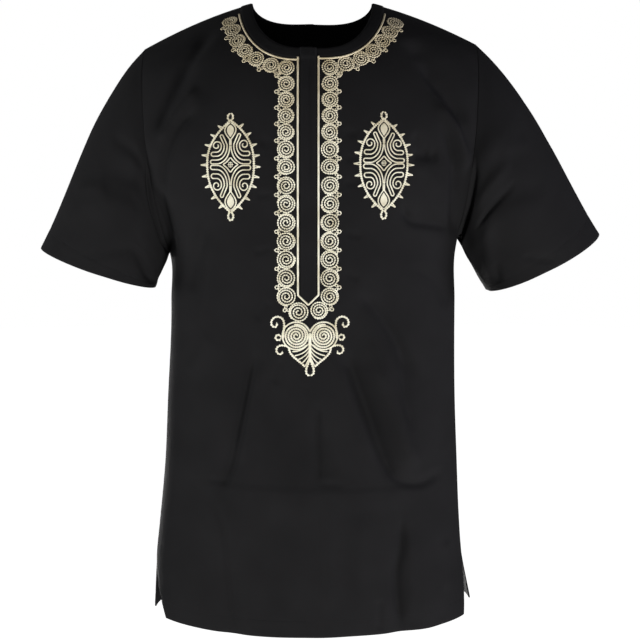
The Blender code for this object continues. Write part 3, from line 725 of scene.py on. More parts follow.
def add_piece(name: str, shape: Shape, look: Material, node: str = "") -> bpy.types.Object:
    """Makes a smooth mesh object that rides on the tunic.

    Args:
        name: The piece's name.
        shape: Its points, its faces as lists of point numbers, and each point's place in the pattern.
        look: Its material.
        node: The CAD node that it stands for, if any.

    Returns:
        The new object.
    """
    vertices, faces, uv = shape
    mesh = bpy.data.meshes.new(name)
    mesh.from_pydata(vertices.tolist(), [], faces)
    mesh.materials.append(look)
    mesh.shade_smooth()
    corners = np.empty(len(mesh.loops), np.int64)
    mesh.loops.foreach_get("vertex_index", corners)
    layer = mesh.uv_layers.new(name=PATTERN)
    layer.data.foreach_set("uv", uv[corners].astype(np.float32).ravel())
    obj = bpy.data.objects.new(name, mesh)
    bpy.context.scene.collection.objects.link(obj)
    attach(obj, BODY)
    if node:
        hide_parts(node)
    return obj


def quads(a: Indices, b: Indices, c: Indices, d: Indices) -> Indices:
    """Four grids of corner numbers as rows of four."""
    return np.stack([a, b, c, d], axis=-1).reshape(-1, 4)


def wall(outer: Array, inner: Array, uv: Array, wrap: bool, flip: bool) -> Shape:
    """A closed wall between an outer grid of points and an inner one of the same size.

    Args:
        outer: The outer points by row and column.
        inner: The inner points.
        uv: The place of each of the grid's points in the pattern, in metres.
        wrap: Whether the last column joins the first, as on a tube.
        flip: Whether the faces turn the other way.

    Returns:
        Points, faces and pattern coordinates, for add_piece.
    """
    rows, cols = outer.shape[:2]
    index = np.arange(rows * cols).reshape(rows, cols)
    if wrap:
        index = np.concatenate([index, index[:, :1]], axis=1)
    under = index + rows * cols
    faces = [
        quads(index[:-1, :-1], index[1:, :-1], index[1:, 1:], index[:-1, 1:]),
        quads(under[:-1, :-1], under[:-1, 1:], under[1:, 1:], under[1:, :-1]),
        quads(index[0, :-1], index[0, 1:], under[0, 1:], under[0, :-1]),
        quads(index[-1, 1:], index[-1, :-1], under[-1, :-1], under[-1, 1:]),
    ]
    if not wrap:
        faces.append(quads(index[1:, 0], index[:-1, 0], under[:-1, 0], under[1:, 0]))
        faces.append(quads(index[:-1, -1], index[1:, -1], under[1:, -1], under[:-1, -1]))
    together = np.concatenate(faces)
    if flip:
        together = together[:, ::-1]
    vertices = np.concatenate([outer.reshape(-1, 3), inner.reshape(-1, 3)])
    return vertices, together.tolist(), np.tile(uv.reshape(-1, 2), (2, 1))


# A wave texture of scale 1 repeats after this length
WAVE_LENGTH = 0.314


class Look:
    """A material under construction: its Principled shader, and a short way to add nodes."""

    def __init__(self, name: str, inputs: dict) -> None:
        """Starts a material, with the values of some of its shader's inputs.

        Args:
            name: The material's name.
            inputs: The values by input.
        """
        self.material = bpy.data.materials.new(name)
        self.material.use_nodes = True
        self.nodes = self.material.node_tree.nodes
        self.shader = self.nodes["Principled BSDF"]
        self.feed(self.shader, inputs)

    def feed(self, node: bpy.types.Node, inputs: dict) -> None:
        """Gives each input of a node a value, or links it to another node's output.

        Args:
            node: The node.
            inputs: The value or the output for each input.
        """
        for key, value in inputs.items():
            if isinstance(value, Socket):
                self.material.node_tree.links.new(value, node.inputs[key])
            else:
                node.inputs[key].default_value = value

    def add(self, kind: str, inputs: dict, **settings: str) -> bpy.types.NodeOutputs:
        """Adds a node.

        Args:
            kind: Its type, without ShaderNode in front.
            inputs: Its inputs' values, or the outputs that go into them.
            settings: Its other settings.

        Returns:
            Its outputs.
        """
        node = self.nodes.new("ShaderNode" + kind)
        for key, value in settings.items():
            setattr(node, key, value)
        self.feed(node, inputs)
        return node.outputs

    def ramp(self, factor: Socket, *stops: tuple[float, Sequence[float]]) -> Socket:
        """A colour ramp between two stops, each a place and a colour.

        Args:
            factor: The output that picks the colour.
            stops: The two places and colours.

        Returns:
            The colour's output.
        """
        node = self.nodes.new("ShaderNodeValToRGB")
        for element, (place, colour) in zip(node.color_ramp.elements, stops):
            element.position = place
            element.color = (*colour, 1)
        self.feed(node, {"Fac": factor})
        return node.outputs["Color"]

    def bump(self, height: Socket, strength: float, distance: float) -> None:
        """Raises the surface where the height is large.

        Args:
            height: The output that gives the height.
            strength: How strong the effect is.
            distance: The height that an output of 1 stands for.
        """
        outputs = self.add("Bump", {"Strength": strength, "Distance": distance, "Height": height})
        self.feed(self.shader, {"Normal": outputs["Normal"]})


@dataclass(frozen=True)
class Cotton:
    """Plain-woven dull black cotton: yarn that crosses at right angles, and faint slubs."""

    colour: tuple[float, float, float] = (0.0094, 0.0093, 0.0099)
    roughness: float = 0.88
    specular: float = 0.06
    yarn: float = 0.0009
    unevenness: float = 0.14

    def material(self, name: str) -> Material:
        """Builds the material on the piece's own pattern coordinates, which are in metres.

        Args:
            name: The material's name.

        Returns:
            The material.
        """
        look = Look(name, {"Roughness": self.roughness, "Specular IOR Level": self.specular})
        place = look.add("UVMap", {}, uv_map=PATTERN)["UV"]
        slubs = look.add("TexNoise", {"Scale": 14, "Detail": 6, "Vector": place})["Fac"]
        dark = [(1 - self.unevenness) * c for c in self.colour]
        light = [(1 + self.unevenness) * c for c in self.colour]
        look.feed(look.shader, {"Base Color": look.ramp(slubs, (0.3, dark), (0.7, light))})
        wave = {"Scale": WAVE_LENGTH / self.yarn, "Distortion": 0.6, "Detail": 1, "Vector": place}
        warp = look.add("TexWave", wave, bands_direction="X")["Fac"]
        weft = look.add("TexWave", wave, bands_direction="Y")["Fac"]
        look.bump(look.add("Math", {0: warp, 1: weft}, operation="MAXIMUM")["Value"], 0.35, 0.00025)
        return look.material


@dataclass(frozen=True)
class SatinThread:
    """Rayon embroidery thread in a pale old gold: a soft shine, with its stitches lying across the line.

    Its tone varies between two colours, and a painted shade darkens it towards the neck, between two levels
    of height, where the thread catches less light.
    """

    colour: tuple[float, float, float] = (0.80, 0.775, 0.63)
    dull: tuple[float, float, float] = (0.50, 0.45, 0.30)
    # The neck colour is a painted shade: it multiplies the thread's tone towards the neck, where the thread
    # catches less light
    neck: tuple[float, float, float] = (0.78, 0.70, 0.58)
    neck_shade_levels: tuple[float, float] = (-0.24, -0.03)
    roughness: float = 0.42
    specular: float = 0.45
    sheen: float = 0.15
    stitch: float = 0.00055

    def material(self, name: str) -> Material:
        """Builds the material. The pattern's first coordinate runs along the thread, in metres.

        Args:
            name: The material's name.

        Returns:
            The material.
        """
        shine = {"Roughness": self.roughness, "Specular IOR Level": self.specular, "Sheen Weight": self.sheen}
        look = Look(name, shine)
        place = look.add("UVMap", {}, uv_map=PATTERN)["UV"]
        wave = {"Scale": WAVE_LENGTH / self.stitch, "Distortion": 1.2, "Vector": place}
        look.bump(look.add("TexWave", wave)["Fac"], 0.5, 0.0002)
        spot = look.add("TexCoord", {})["Object"]
        tones = look.add("TexNoise", {"Scale": 60, "Detail": 4, "Vector": spot})["Fac"]
        shades = look.ramp(tones, (0.25, self.dull), (0.60, self.colour))
        # Painted shade: the neck colour multiplies the tone fully above the higher level and not at all below
        # the lower one, so the thread darkens towards the neck
        height = look.add("SeparateXYZ", {"Vector": spot})["Z"]
        low, high = self.neck_shade_levels
        levels = {"From Min": low, "From Max": high, "Value": height}
        level = look.add("MapRange", levels, interpolation_type="SMOOTHSTEP")["Result"]
        parts = {"B": (*self.neck, 1), "Factor": level, "A": shades}
        tone_with_painted_shade = look.add("Mix", parts, data_type="RGBA", blend_type="MULTIPLY")["Result"]
        look.feed(look.shader, {"Base Color": tone_with_painted_shade})
        return look.material


@dataclass(frozen=True)
class BlackThread:
    """The sewing thread of the hems: twisted black polyester with a faint shine."""

    colour: tuple[float, float, float] = (0.0078, 0.0077, 0.0082)
    roughness: float = 0.5
    specular: float = 0.08
    twist: float = 0.0005

    def material(self, name: str) -> Material:
        """Builds the material, with the twist of the yarn as a fine bump along it.

        Args:
            name: The material's name.

        Returns:
            The material.
        """
        look = Look(name, {"Roughness": self.roughness, "Specular IOR Level": self.specular})
        look.feed(look.shader, {"Base Color": (*self.colour, 1)})
        place = look.add("UVMap", {}, uv_map=PATTERN)["UV"]
        wave = {"Scale": WAVE_LENGTH / self.twist, "Vector": place}
        look.bump(look.add("TexWave", wave, bands_direction="DIAGONAL")["Fac"], 0.5, 0.0001)
        return look.material


@dataclass(frozen=True)
class Stitch:
    """How a line of thread is laid: its width and height, and how much its stitches pinch it."""

    half_width: float
    height: float
    period: float = 0.0016
    pinch: float = 0.0
    spacing: float = 0.00045
    taper: bool = True


Line = tuple[Array, Stitch]

CORD = Stitch(half_width=0.00124, height=0.0011, spacing=0.0012, taper=False)
CHAIN = Stitch(half_width=0.00114, height=0.0010, pinch=0.70, period=0.0029)
CURL = Stitch(half_width=0.00086, height=0.0009, pinch=0.12, period=0.0029)
BORDER = Stitch(half_width=0.00165, height=0.0010, pinch=0.62, period=0.0028)
SPIKE = Stitch(half_width=0.00078, height=0.0008)
HATCH = Stitch(half_width=0.00046, height=0.0006)
FILL = Stitch(half_width=0.00048, height=0.0008, spacing=0.0007)
DISC = Stitch(half_width=0.00138, height=0.0010, pinch=0.46, period=0.0027)
LOOP = Stitch(half_width=0.00160, height=0.0010, pinch=0.66, period=0.0030)
OUTLINE = Stitch(half_width=0.00108, height=0.0009, pinch=0.20, period=0.0026)
PICOT = Stitch(half_width=0.00080, height=0.0008, pinch=0.35, period=0.0025, spacing=0.0004)
STEM = Stitch(half_width=0.0019, height=0.0010)
TOPSTITCH = Stitch(
    half_width=0.00026, height=0.00022, period=0.0030, pinch=0.97, spacing=0.00075, taper=False
)

# The corners of a thread's oval section, written in degrees, and the metres of pattern round it
SECTION_ANGLES = np.radians(np.array([-32.0, 18.0, 62.0, 118.0, 162.0, 212.0]))
SECTION_REACH = 0.002


def tubes(lines: Sequence[tuple[Array, Array, Stitch]]) -> Shape:
    """Closed tubes of thread along lines of points.

    A tube's section is an oval of six corners, half_width * cos(a) aside and height * sin(a) out. Its
    size is 1 - pinch * (1 - |sin(pi s / period)|) at the distance s along it. If the stitch tapers, the
    ends round off over one and a half of its half widths.

    Args:
        lines: For each tube its points, the outward directions there and the stitch that it is sewn in.

    Returns:
        Points, faces and pattern coordinates, for add_piece.
    """
    corners = len(SECTION_ANGLES)
    across = np.cos(SECTION_ANGLES)[None, :, None]
    out = np.sin(SECTION_ANGLES)[None, :, None]
    around = np.linspace(0, SECTION_REACH, corners)[None, :]
    vertices, faces, uvs = [], [], []
    begun = 0
    for points, normals, stitch in lines:
        length = distances(points)
        size = 1 - stitch.pinch * (1 - np.abs(np.sin(np.pi * length / stitch.period)))
        if stitch.taper:
            to_end = np.minimum(length, length[-1] - length)
            size = size * np.sqrt(np.clip(to_end / (1.5 * stitch.half_width), 0.04, 1))
        side = unit(np.cross(np.gradient(points, axis=0), normals))[:, None]
        section = stitch.half_width * across * side + stitch.height * out * normals[:, None]
        vertices.append((points[:, None] + size[:, None, None] * section).reshape(-1, 3))
        count = len(points)
        first = np.arange(count - 1)[:, None] * corners + np.arange(corners) + begun
        turned = np.roll(first, -1, axis=1)
        faces += quads(first, first + corners, turned + corners, turned).tolist()
        last = begun + (count - 1) * corners
        faces.append(list(range(begun, begun + corners)))
        faces.append(list(range(last + corners - 1, last - 1, -1)))
        uvs.append(np.stack(np.broadcast_arrays(length[:, None], around), axis=-1).reshape(-1, 2))
        begun += count * corners
    return np.concatenate(vertices), faces, np.concatenate(uvs)


def sewn(panel: Panel, lines: Sequence[Line], lift: Lift | None = None) -> Shape:
    """Thread that lies on a panel's cloth along paths of (x, run).

    Args:
        panel: The panel that the thread lies on.
        lines: Each path of (x, run), with the stitch that it is sewn in.
        lift: Gives how far the cloth under the thread stands above the panel at (x, run).

    Returns:
        Points, faces and pattern coordinates, for add_piece.
    """
    places = []
    for path, stitch in lines:
        length = distances(FORM.point(panel, path[:, 0], np.maximum(path[:, 1], 0)))
        at = np.linspace(0, length[-1], max(4, int(length[-1] / stitch.spacing)))
        places.append(sample(path, length, at))
    where = np.concatenate(places)
    centre, normals = FORM.cloth(panel, where[:, 0], np.maximum(where[:, 1], 0))
    if lift:
        centre = centre + normals * lift(where[:, 0], where[:, 1])[:, None]
    cuts = np.cumsum([len(place) for place in places])[:-1]
    stitches = [stitch for _, stitch in lines]
    return tubes(list(zip(np.split(centre, cuts), np.split(normals, cuts), stitches)))


@dataclass(frozen=True)
class Shirting:
    """The two body panels and the two sleeves: a wall of cloth with turned hems."""

    cotton: Material
    thread: Material
    thickness: float = 0.0012
    turned: float = 0.0007
    turn_width: float = 0.0015
    hem_depth: float = 0.020
    cuff_depth: float = 0.024
    shoulder_rows: int = 24
    armhole_rows: int = 50
    side_rows: int = 156
    front_columns: int = 190
    back_columns: int = 150
    sleeve_rings: int = 84
    sleeve_girth: float = 0.40
    sleeve_ripple: float = 0.0007
    sleeve_tuck: float = 0.0007
    sleeve_sink: float = 0.0001
    cap_rise: float = 0.15
    slit_opening: float = 0.70
    flat_edge: float = 0.015
    groove: float = 0.0003
    groove_width: float = 0.0012

    def row_ends(self, panel: Panel, side: Side) -> tuple[Array, Array]:
        """x and run of one edge of a panel: shoulder seam, armhole, side seam and slit, from neck to hem.

        Args:
            panel: The front or the back.
            side: The side of the tunic.

        Returns:
            x and run of each row's end.
        """
        shoulder = np.linspace(0, 1, self.shoulder_rows + 1)
        armhole = 1 - (1 - np.arange(1, self.armhole_rows + 1) / self.armhole_rows) ** FORM.armhole_spacing
        down = np.arange(1, self.side_rows + 1) / self.side_rows
        rise = side.front_rise if panel is Panel.FRONT else -side.flare
        side_run = mix(side.armpit_run, FORM.hem_run, down) - rise * down**FORM.hem_rise_power
        open_share = np.clip((side_run - FORM.slit_run) / (FORM.hem_run - FORM.slit_run), 0, 1)
        slit = side.front_slit if panel is Panel.FRONT else side.back_slit
        power = FORM.section_power
        in_from_side = (1 - (slit * open_share**self.slit_opening) ** power) ** (1 / power)
        x = np.concatenate([
            mix(FORM.neck_half_width, side.shoulder_half_width, shoulder),
            mix(side.shoulder_half_width, side.armpit_half_width, armhole**FORM.armhole_power),
            FORM.half_width(np.full(self.side_rows, float(side.sign)), side_run) * in_from_side,
        ])
        return side.sign * x, np.concatenate([0 * shoulder, side.armpit_run * armhole, side_run])

    def domain(self, panel: Panel) -> tuple[Array, Array, Array]:
        """x, run and place across of every point of a panel, row by row.

        A row is a ring round the neck at the top and level at the hem: run = end + (middle - end) * sag,
        with sag = (1 - |place|^p)^q and both powers changing from row to row.

        Args:
            panel: The front or the back.

        Returns:
            x and run of each point, and the columns' places from -1 to 1.
        """
        columns = self.front_columns if panel is Panel.FRONT else self.back_columns
        armpit_run = (WEARER_RIGHT.armpit_run + WEARER_LEFT.armpit_run) / 2
        middle = np.concatenate([
            np.linspace(FORM.neck_run(panel), FORM.chest_mid_run, self.shoulder_rows + 1),
            np.linspace(FORM.chest_mid_run, armpit_run, self.armhole_rows + 1)[1:],
            np.linspace(armpit_run, FORM.hem_run, self.side_rows + 1)[1:],
        ])
        rows = np.arange(len(middle))
        marks = [0, self.shoulder_rows, self.shoulder_rows + self.armhole_rows]
        power = np.interp(rows, marks, [FORM.neck_power, 2, 2])
        round_off = np.interp(rows, marks, [1 / FORM.neck_power, 1, 2])
        angle = np.linspace(-np.pi / 2, np.pi / 2, columns + 1)
        place = np.sign(angle) * np.abs(np.sin(angle)) ** (2 / FORM.section_power)
        left_x, left_run = self.row_ends(panel, WEARER_RIGHT)
        right_x, right_run = self.row_ends(panel, WEARER_LEFT)
        end_x = np.where(place < 0, -left_x[:, None], right_x[:, None])
        end_run = np.where(place < 0, left_run[:, None], right_run[:, None])
        sag = (1 - np.abs(place) ** power[:, None]) ** round_off[:, None]
        return end_x * place, mix(end_run, middle[:, None], sag), place

    def groove_height(self, to_edge: Array, depth: float) -> Array:
        """The pressed-in line of a hem's stitches, at one distance from the edge."""
        return -self.groove * bell(to_edge - depth, self.groove_width)

    def surface(self, panel: Panel) -> tuple[Array, Array, Array, Array]:
        """The outer points of a panel, their outward directions, and x and run there.

        Args:
            panel: The front or the back.

        Returns:
            The points, the directions, x and run, by row and column.
        """
        x, run, place = self.domain(panel)
        bare = FORM.point(panel, x, run)
        height = FORM.fold_height(panel, x, run) * ease((1 - np.abs(place)) / self.flat_edge)[None, :]
        height = height + self.groove_height(run[-1:] - run, self.hem_depth)
        points = bare + outward(bare, panel.value, wrap=False) * height[..., None]
        normals = outward(points, panel.value, wrap=False)
        seam_rows = self.shoulder_rows + self.armhole_rows
        slit_row = int(np.searchsorted(self.row_ends(panel, WEARER_RIGHT)[1], FORM.slit_run))
        normals[: self.shoulder_rows + 1, [0, -1], 1] = 0
        normals[seam_rows:slit_row, [0, -1], 1] = 0
        return points, unit(normals), x, run

    def armhole(self, grids: dict, side: Side) -> tuple[Array, Array]:
        """An armhole's points and outward directions: down its front edge and up its back edge.

        Args:
            grids: Each panel's surface.
            side: The side of the tunic.

        Returns:
            The ring of points, and the directions there.
        """
        edge = 0 if side.sign < 0 else -1
        rows = slice(self.shoulder_rows, self.shoulder_rows + self.armhole_rows + 1)
        front, back = (np.stack([grids[panel][k][rows, edge] for k in (0, 1)]) for panel in Panel)
        tip = (front[:, [0]] + back[:, [0]]) / 2
        pit = (front[:, [-1]] + back[:, [-1]]) / 2
        ring = np.concatenate([tip, front[:, 1:-1], pit, back[:, -2:0:-1]], axis=1)
        return ring[0], unit(ring[1])

    def sleeve(
        self, side: Side, creases: tuple, ring: Array, ring_normals: Array
    ) -> tuple[Array, Array, Array]:
        """The outer points of a sleeve, their outward directions and their shares of the way to the cuff.

        Each line of the sleeve is the chord from the armhole to the oval cuff, lifted by t (1 - t)^2.

        Args:
            side: The side of the tunic.
            creases: The sleeve's creases.
            ring: The armhole's points.
            ring_normals: The outward directions there.

        Returns:
            Points and directions by ring, and the share of each ring.
        """
        along_edge = np.roll(ring, -1, axis=0) - np.roll(ring, 1, axis=0)
        away = unit(np.cross(along_edge, ring_normals) * -side.sign)
        start = ring - self.sleeve_tuck * away - self.sleeve_sink * ring_normals
        steps = np.linalg.norm(np.roll(ring, -1, axis=0) - ring, axis=1)
        front, back = steps[: self.armhole_rows], steps[self.armhole_rows :]
        turns = [[0], np.cumsum(front) / front.sum(), 1 + (np.cumsum(back) / back.sum())[:-1]]
        angle = np.pi * np.concatenate(turns)
        cos, sin = np.cos(angle)[:, None], np.sin(angle)[:, None]
        tilt = side.cuff_tilt
        sideways = np.array([side.sign * math.cos(tilt), 0, math.sin(tilt)])
        arm = np.array([side.sign * math.sin(tilt), 0, -math.cos(tilt)])
        backwards = np.array([0, 1, 0])
        cuff = (
            np.array(side.cuff)
            + side.cuff_half_width * cos * sideways
            - side.cuff_half_depth * sin * backwards
            + side.cuff_dip * sin * arm
        )
        lift = side.cap_puff * np.clip(cos, 0, 1) ** 2 * np.array([side.sign, 0, self.cap_rise])
        lift = lift - side.puff * sin * backwards
        t = np.linspace(0, 1, self.sleeve_rings)[:, None, None]
        points = start + (cuff - start) * t + lift * t * (1 - t) ** 2
        around = np.degrees(angle)[None, :]
        share = t[..., 0]
        ripple_run = share * SLEEVE_REACH + side.sign
        height = ripple(around * DEGREE, ripple_run, self.sleeve_ripple) * ease(share / 0.1)
        for crease in creases:
            across = (crease.angle1 - crease.angle0) * DEGREE
            along = (crease.along1 - crease.along0) * SLEEVE_REACH
            dx = (around - crease.angle0) * DEGREE
            dy = (share - crease.along0) * SLEEVE_REACH
            height = height + ridge(dx, dy, across, along, crease.width, crease.height) * ease(share / 0.04)
        height = height + self.groove_height((1 - share) * SLEEVE_REACH, self.cuff_depth)
        points = points + outward(points, side.sign, wrap=True) * height[..., None]
        return points, outward(points, side.sign, wrap=True), share

    def hem_line(
        self, points: Array, normals: Array, to_edge: Array, depth: float, closed: bool
    ) -> tuple[Array, Array, Stitch]:
        """A row of stitches at one distance from a piece's lower edge.

        Args:
            points: The piece's outer points by row and column.
            normals: The outward directions there.
            to_edge: Each point's distance from the lower edge.
            depth: The distance to sew at.
            closed: Whether the row goes all round a tube.

        Returns:
            Its points, the outward directions there and the stitch, for tubes.
        """
        rows = np.argmax(to_edge <= depth, axis=0)
        cols = np.arange(points.shape[1])
        above, below = to_edge[rows - 1, cols], to_edge[rows, cols]
        share = ((above - depth) / (above - below))[:, None]
        line = mix(points[rows - 1, cols], points[rows, cols], share)
        facing = unit(mix(normals[rows - 1, cols], normals[rows, cols], share))
        if closed:
            line, facing = np.concatenate([line, line[:1]]), np.concatenate([facing, facing[:1]])
        else:
            line, facing = line[2:-2], facing[2:-2]
        length = distances(line)
        at = np.linspace(0, length[-1], int(length[-1] / TOPSTITCH.spacing))
        return sample(line, length, at), unit(sample(facing, length, at)), TOPSTITCH

    def pair(
        self, node: str, points: Array, normals: Array, to_edge: Array, uv: Array, flip: bool
    ) -> tuple[bpy.types.Object, bpy.types.Object]:
        """Builds one cloth piece, with its hem turned up inside, and its row of stitches.

        Args:
            node: The CAD node that it stands for. A sleeve is a tube.
            points: Its outer points by row and column.
            normals: The outward directions there.
            to_edge: Each point's distance from the lower edge.
            uv: Each point's place in the pattern.
            flip: Whether its faces turn the other way.

        Returns:
            The cloth and the stitches.
        """
        tube = node.startswith("sleeve")
        kind, depth = ("cuff", self.cuff_depth) if tube else ("hem", self.hem_depth)
        turned_up = ease((depth - to_edge) / self.turn_width) * self.turned
        inner = points - normals * (self.thickness + turned_up)[..., None]
        cloth = wall(points, inner, uv, wrap=tube, flip=flip)
        line = self.hem_line(points, normals, to_edge, depth, closed=tube)
        return (
            add_piece("cloth_" + node, cloth, self.cotton, node),
            add_piece(f"{kind}_stitches_{node}", tubes([line]), self.thread),
        )

    def build(self) -> tuple[dict, dict]:
        """Builds the four cloth pieces and the stitches of their hems.

        Returns:
            The pieces by name, and the rows of stitches by the same names.
        """
        grids = {panel: self.surface(panel) for panel in Panel}
        made, stitches = {}, {}
        for panel, name in ((Panel.FRONT, "front"), (Panel.BACK, "back")):
            points, normals, x, run = grids[panel]
            uv = np.stack([x, run], axis=-1)
            flip = panel is Panel.BACK
            made[name], stitches[name] = self.pair(name, points, normals, run[-1:] - run, uv, flip)
        for side, name, creases in (
            (WEARER_RIGHT, "sleeve_right", RIGHT_SLEEVE_CREASES),
            (WEARER_LEFT, "sleeve_left", LEFT_SLEEVE_CREASES),
        ):
            points, normals, share = self.sleeve(side, creases, *self.armhole(grids, side))
            to_edge = np.broadcast_to((1 - share) * SLEEVE_REACH, points.shape[:2])
            around = np.linspace(0, self.sleeve_girth, points.shape[1])[None, :]
            uv = np.stack(np.broadcast_arrays(around, share * SLEEVE_REACH), axis=-1)
            made[name], stitches[name] = self.pair(name, points, normals, to_edge, uv, side.sign > 0)
        return made, stitches


@dataclass(frozen=True)
class NeckTrim:
    """The neckband, the placket that laps over it, and the gold cord along both."""

    band_width: float = 0.0165
    right_lift: float = 0.0034
    thickness: float = 0.0011
    rest: float = 0.0003
    band_rest: float = 0.00005
    edge_in: float = 0.0003
    lap_slope: float = 0.004
    cord_half_width: float = 0.0016
    cord_start: float = 0.17
    cord_tops: tuple[float, float] = (0.0030, 0.0024)
    placket_x: float = -0.0045
    placket_half_width: float = 0.0125
    placket_run: float = 0.3935
    placket_point: float = 0.0120
    placket_top: float = 0.0002

    def band_out(self, angle: Array) -> Array:
        """The band's width at an angle round the front: narrower towards the middle on the right."""
        cos = np.cos(angle)
        return self.band_width - self.right_lift * np.where(angle > 0, cos**2, 0.5 * cos**8)

    def over_band(self, x: Array, run: Array) -> Array:
        """How high the placket and its cord stand at (x, run): over the neckband, then on the panel."""
        beyond = run - FORM.ring_run(x, self.band_width - 2.4 * self.cord_half_width)
        return self.rest + self.thickness * (1 - ease(beyond / self.lap_slope + 0.5))

    def strip(
        self, node: str, panel: Panel, where: Array, lift: Lift | None, look: Material
    ) -> bpy.types.Object:
        """A strip of cloth with rounded long edges over a grid of (x, run), which lies on a panel.

        Its thickness is 1 - |a|^8 of the full one, where a goes from -1 to 1 across the strip, and it is
        never less than 0.12 of it.

        Args:
            node: The CAD node that it stands for.
            panel: The panel that it lies on.
            where: (x, run) of its points, by row and column.
            lift: How far it stands above the panel at (x, run).
            look: Its material.

        Returns:
            The new piece.
        """
        x, run = where[..., 0], where[..., 1]
        points, normals = FORM.cloth(panel, x, np.maximum(run, 0))
        across = np.linspace(-1, 1, where.shape[1])[None, :]
        thick = self.thickness * np.maximum(1 - np.abs(across) ** 8, 0.12)
        above = lift(x, run) if lift else np.full(x.shape, self.band_rest)
        outer = points + normals * (thick + above)[..., None]
        inner = points + normals * above[..., None]
        shape = wall(outer, inner, where, wrap=False, flip=panel is Panel.BACK)
        return add_piece(node + "_cloth", shape, look, node)

    def bands(self, look: Material) -> dict:
        """The two halves of the neckband, which meet at the shoulder seams, and the placket.

        Args:
            look: Their material.

        Returns:
            The pieces by name.
        """
        made = {}
        for panel, name, count in ((Panel.FRONT, "neckband_front", 181), (Panel.BACK, "neckband_back", 141)):
            angle = np.linspace(-np.pi / 2, np.pi / 2, count)[:, None]
            width = self.band_out(angle) if panel is Panel.FRONT else np.full(angle.shape, self.band_width)
            out = mix(width - self.cord_half_width, self.edge_in, np.linspace(0, 1, 13)[None, :])
            made[name] = self.strip(name, panel, FORM.ring(panel, angle + 0 * out, out), None, look)
        half = self.placket_half_width - 1.5 * self.cord_half_width
        across = np.linspace(-1, 1, 15)[None, :]
        down = np.linspace(0, 1, 170)[:, None]
        x = self.placket_x + half * across + 0 * down
        bottom = self.placket_run - self.cord_half_width + self.placket_point * (1 - np.abs(across))
        where = np.stack([x, mix(FORM.ring_run(x, self.placket_top), bottom, down)], axis=-1)
        made["placket"] = self.strip("placket", Panel.FRONT, where, self.over_band, look)
        return made

    def cord_lines(self) -> list[Array]:
        """(x, run) of the front cords: one along each side of the neckband, and one round the placket.

        Returns:
            The three paths.
        """
        ends = (self.placket_x - self.placket_half_width, self.placket_x + self.placket_half_width)
        lines = []
        for x_end in ends:
            last = math.asin((abs(x_end) / (FORM.neck_half_width + self.band_width)) ** (FORM.neck_power / 2))
            angle = math.copysign(1, x_end) * np.linspace(np.pi / 2 - self.cord_start, last, 70)
            lines.append(FORM.ring(Panel.FRONT, angle, self.band_out(angle)))
        tip = (self.placket_x, self.placket_run + self.placket_point)
        tops = [(x_end, line[-1, 1] - up) for x_end, line, up in zip(ends, lines, self.cord_tops)]
        left, right = ((x_end, self.placket_run) for x_end in ends)
        corners = ((tops[0], left, 130), (left, tip, 12), (tip, right, 12), (right, tops[1], 130))
        down_and_up = [evenly(np.array([start, end]), count) for start, end, count in corners]
        lines.append(np.concatenate([down_and_up[0], *(part[1:] for part in down_and_up[1:])]))
        return lines

    def cords(self, look: Material) -> dict:
        """The gold cord in front and at the back.

        Args:
            look: Its material.

        Returns:
            The pieces by name.
        """
        end = np.pi / 2 - self.cord_start
        behind = FORM.ring(Panel.BACK, np.linspace(-end, end, 120), self.band_width)
        made = {}
        for panel, name, paths, lift in (
            (Panel.FRONT, "line_front", self.cord_lines(), self.over_band),
            (Panel.BACK, "line_back", [behind], None),
        ):
            shape = sewn(panel, [(path, CORD) for path in paths], lift)
            made[name] = add_piece(name + "_cord", shape, look, name)
        return made


def embroider(node: str, lines: Sequence[Line], look: Material) -> bpy.types.Object:
    """Makes the embroidery on the front that stands for a CAD node, from lines of (x, run)."""
    return add_piece(node + "_thread", sewn(Panel.FRONT, lines), look, node)


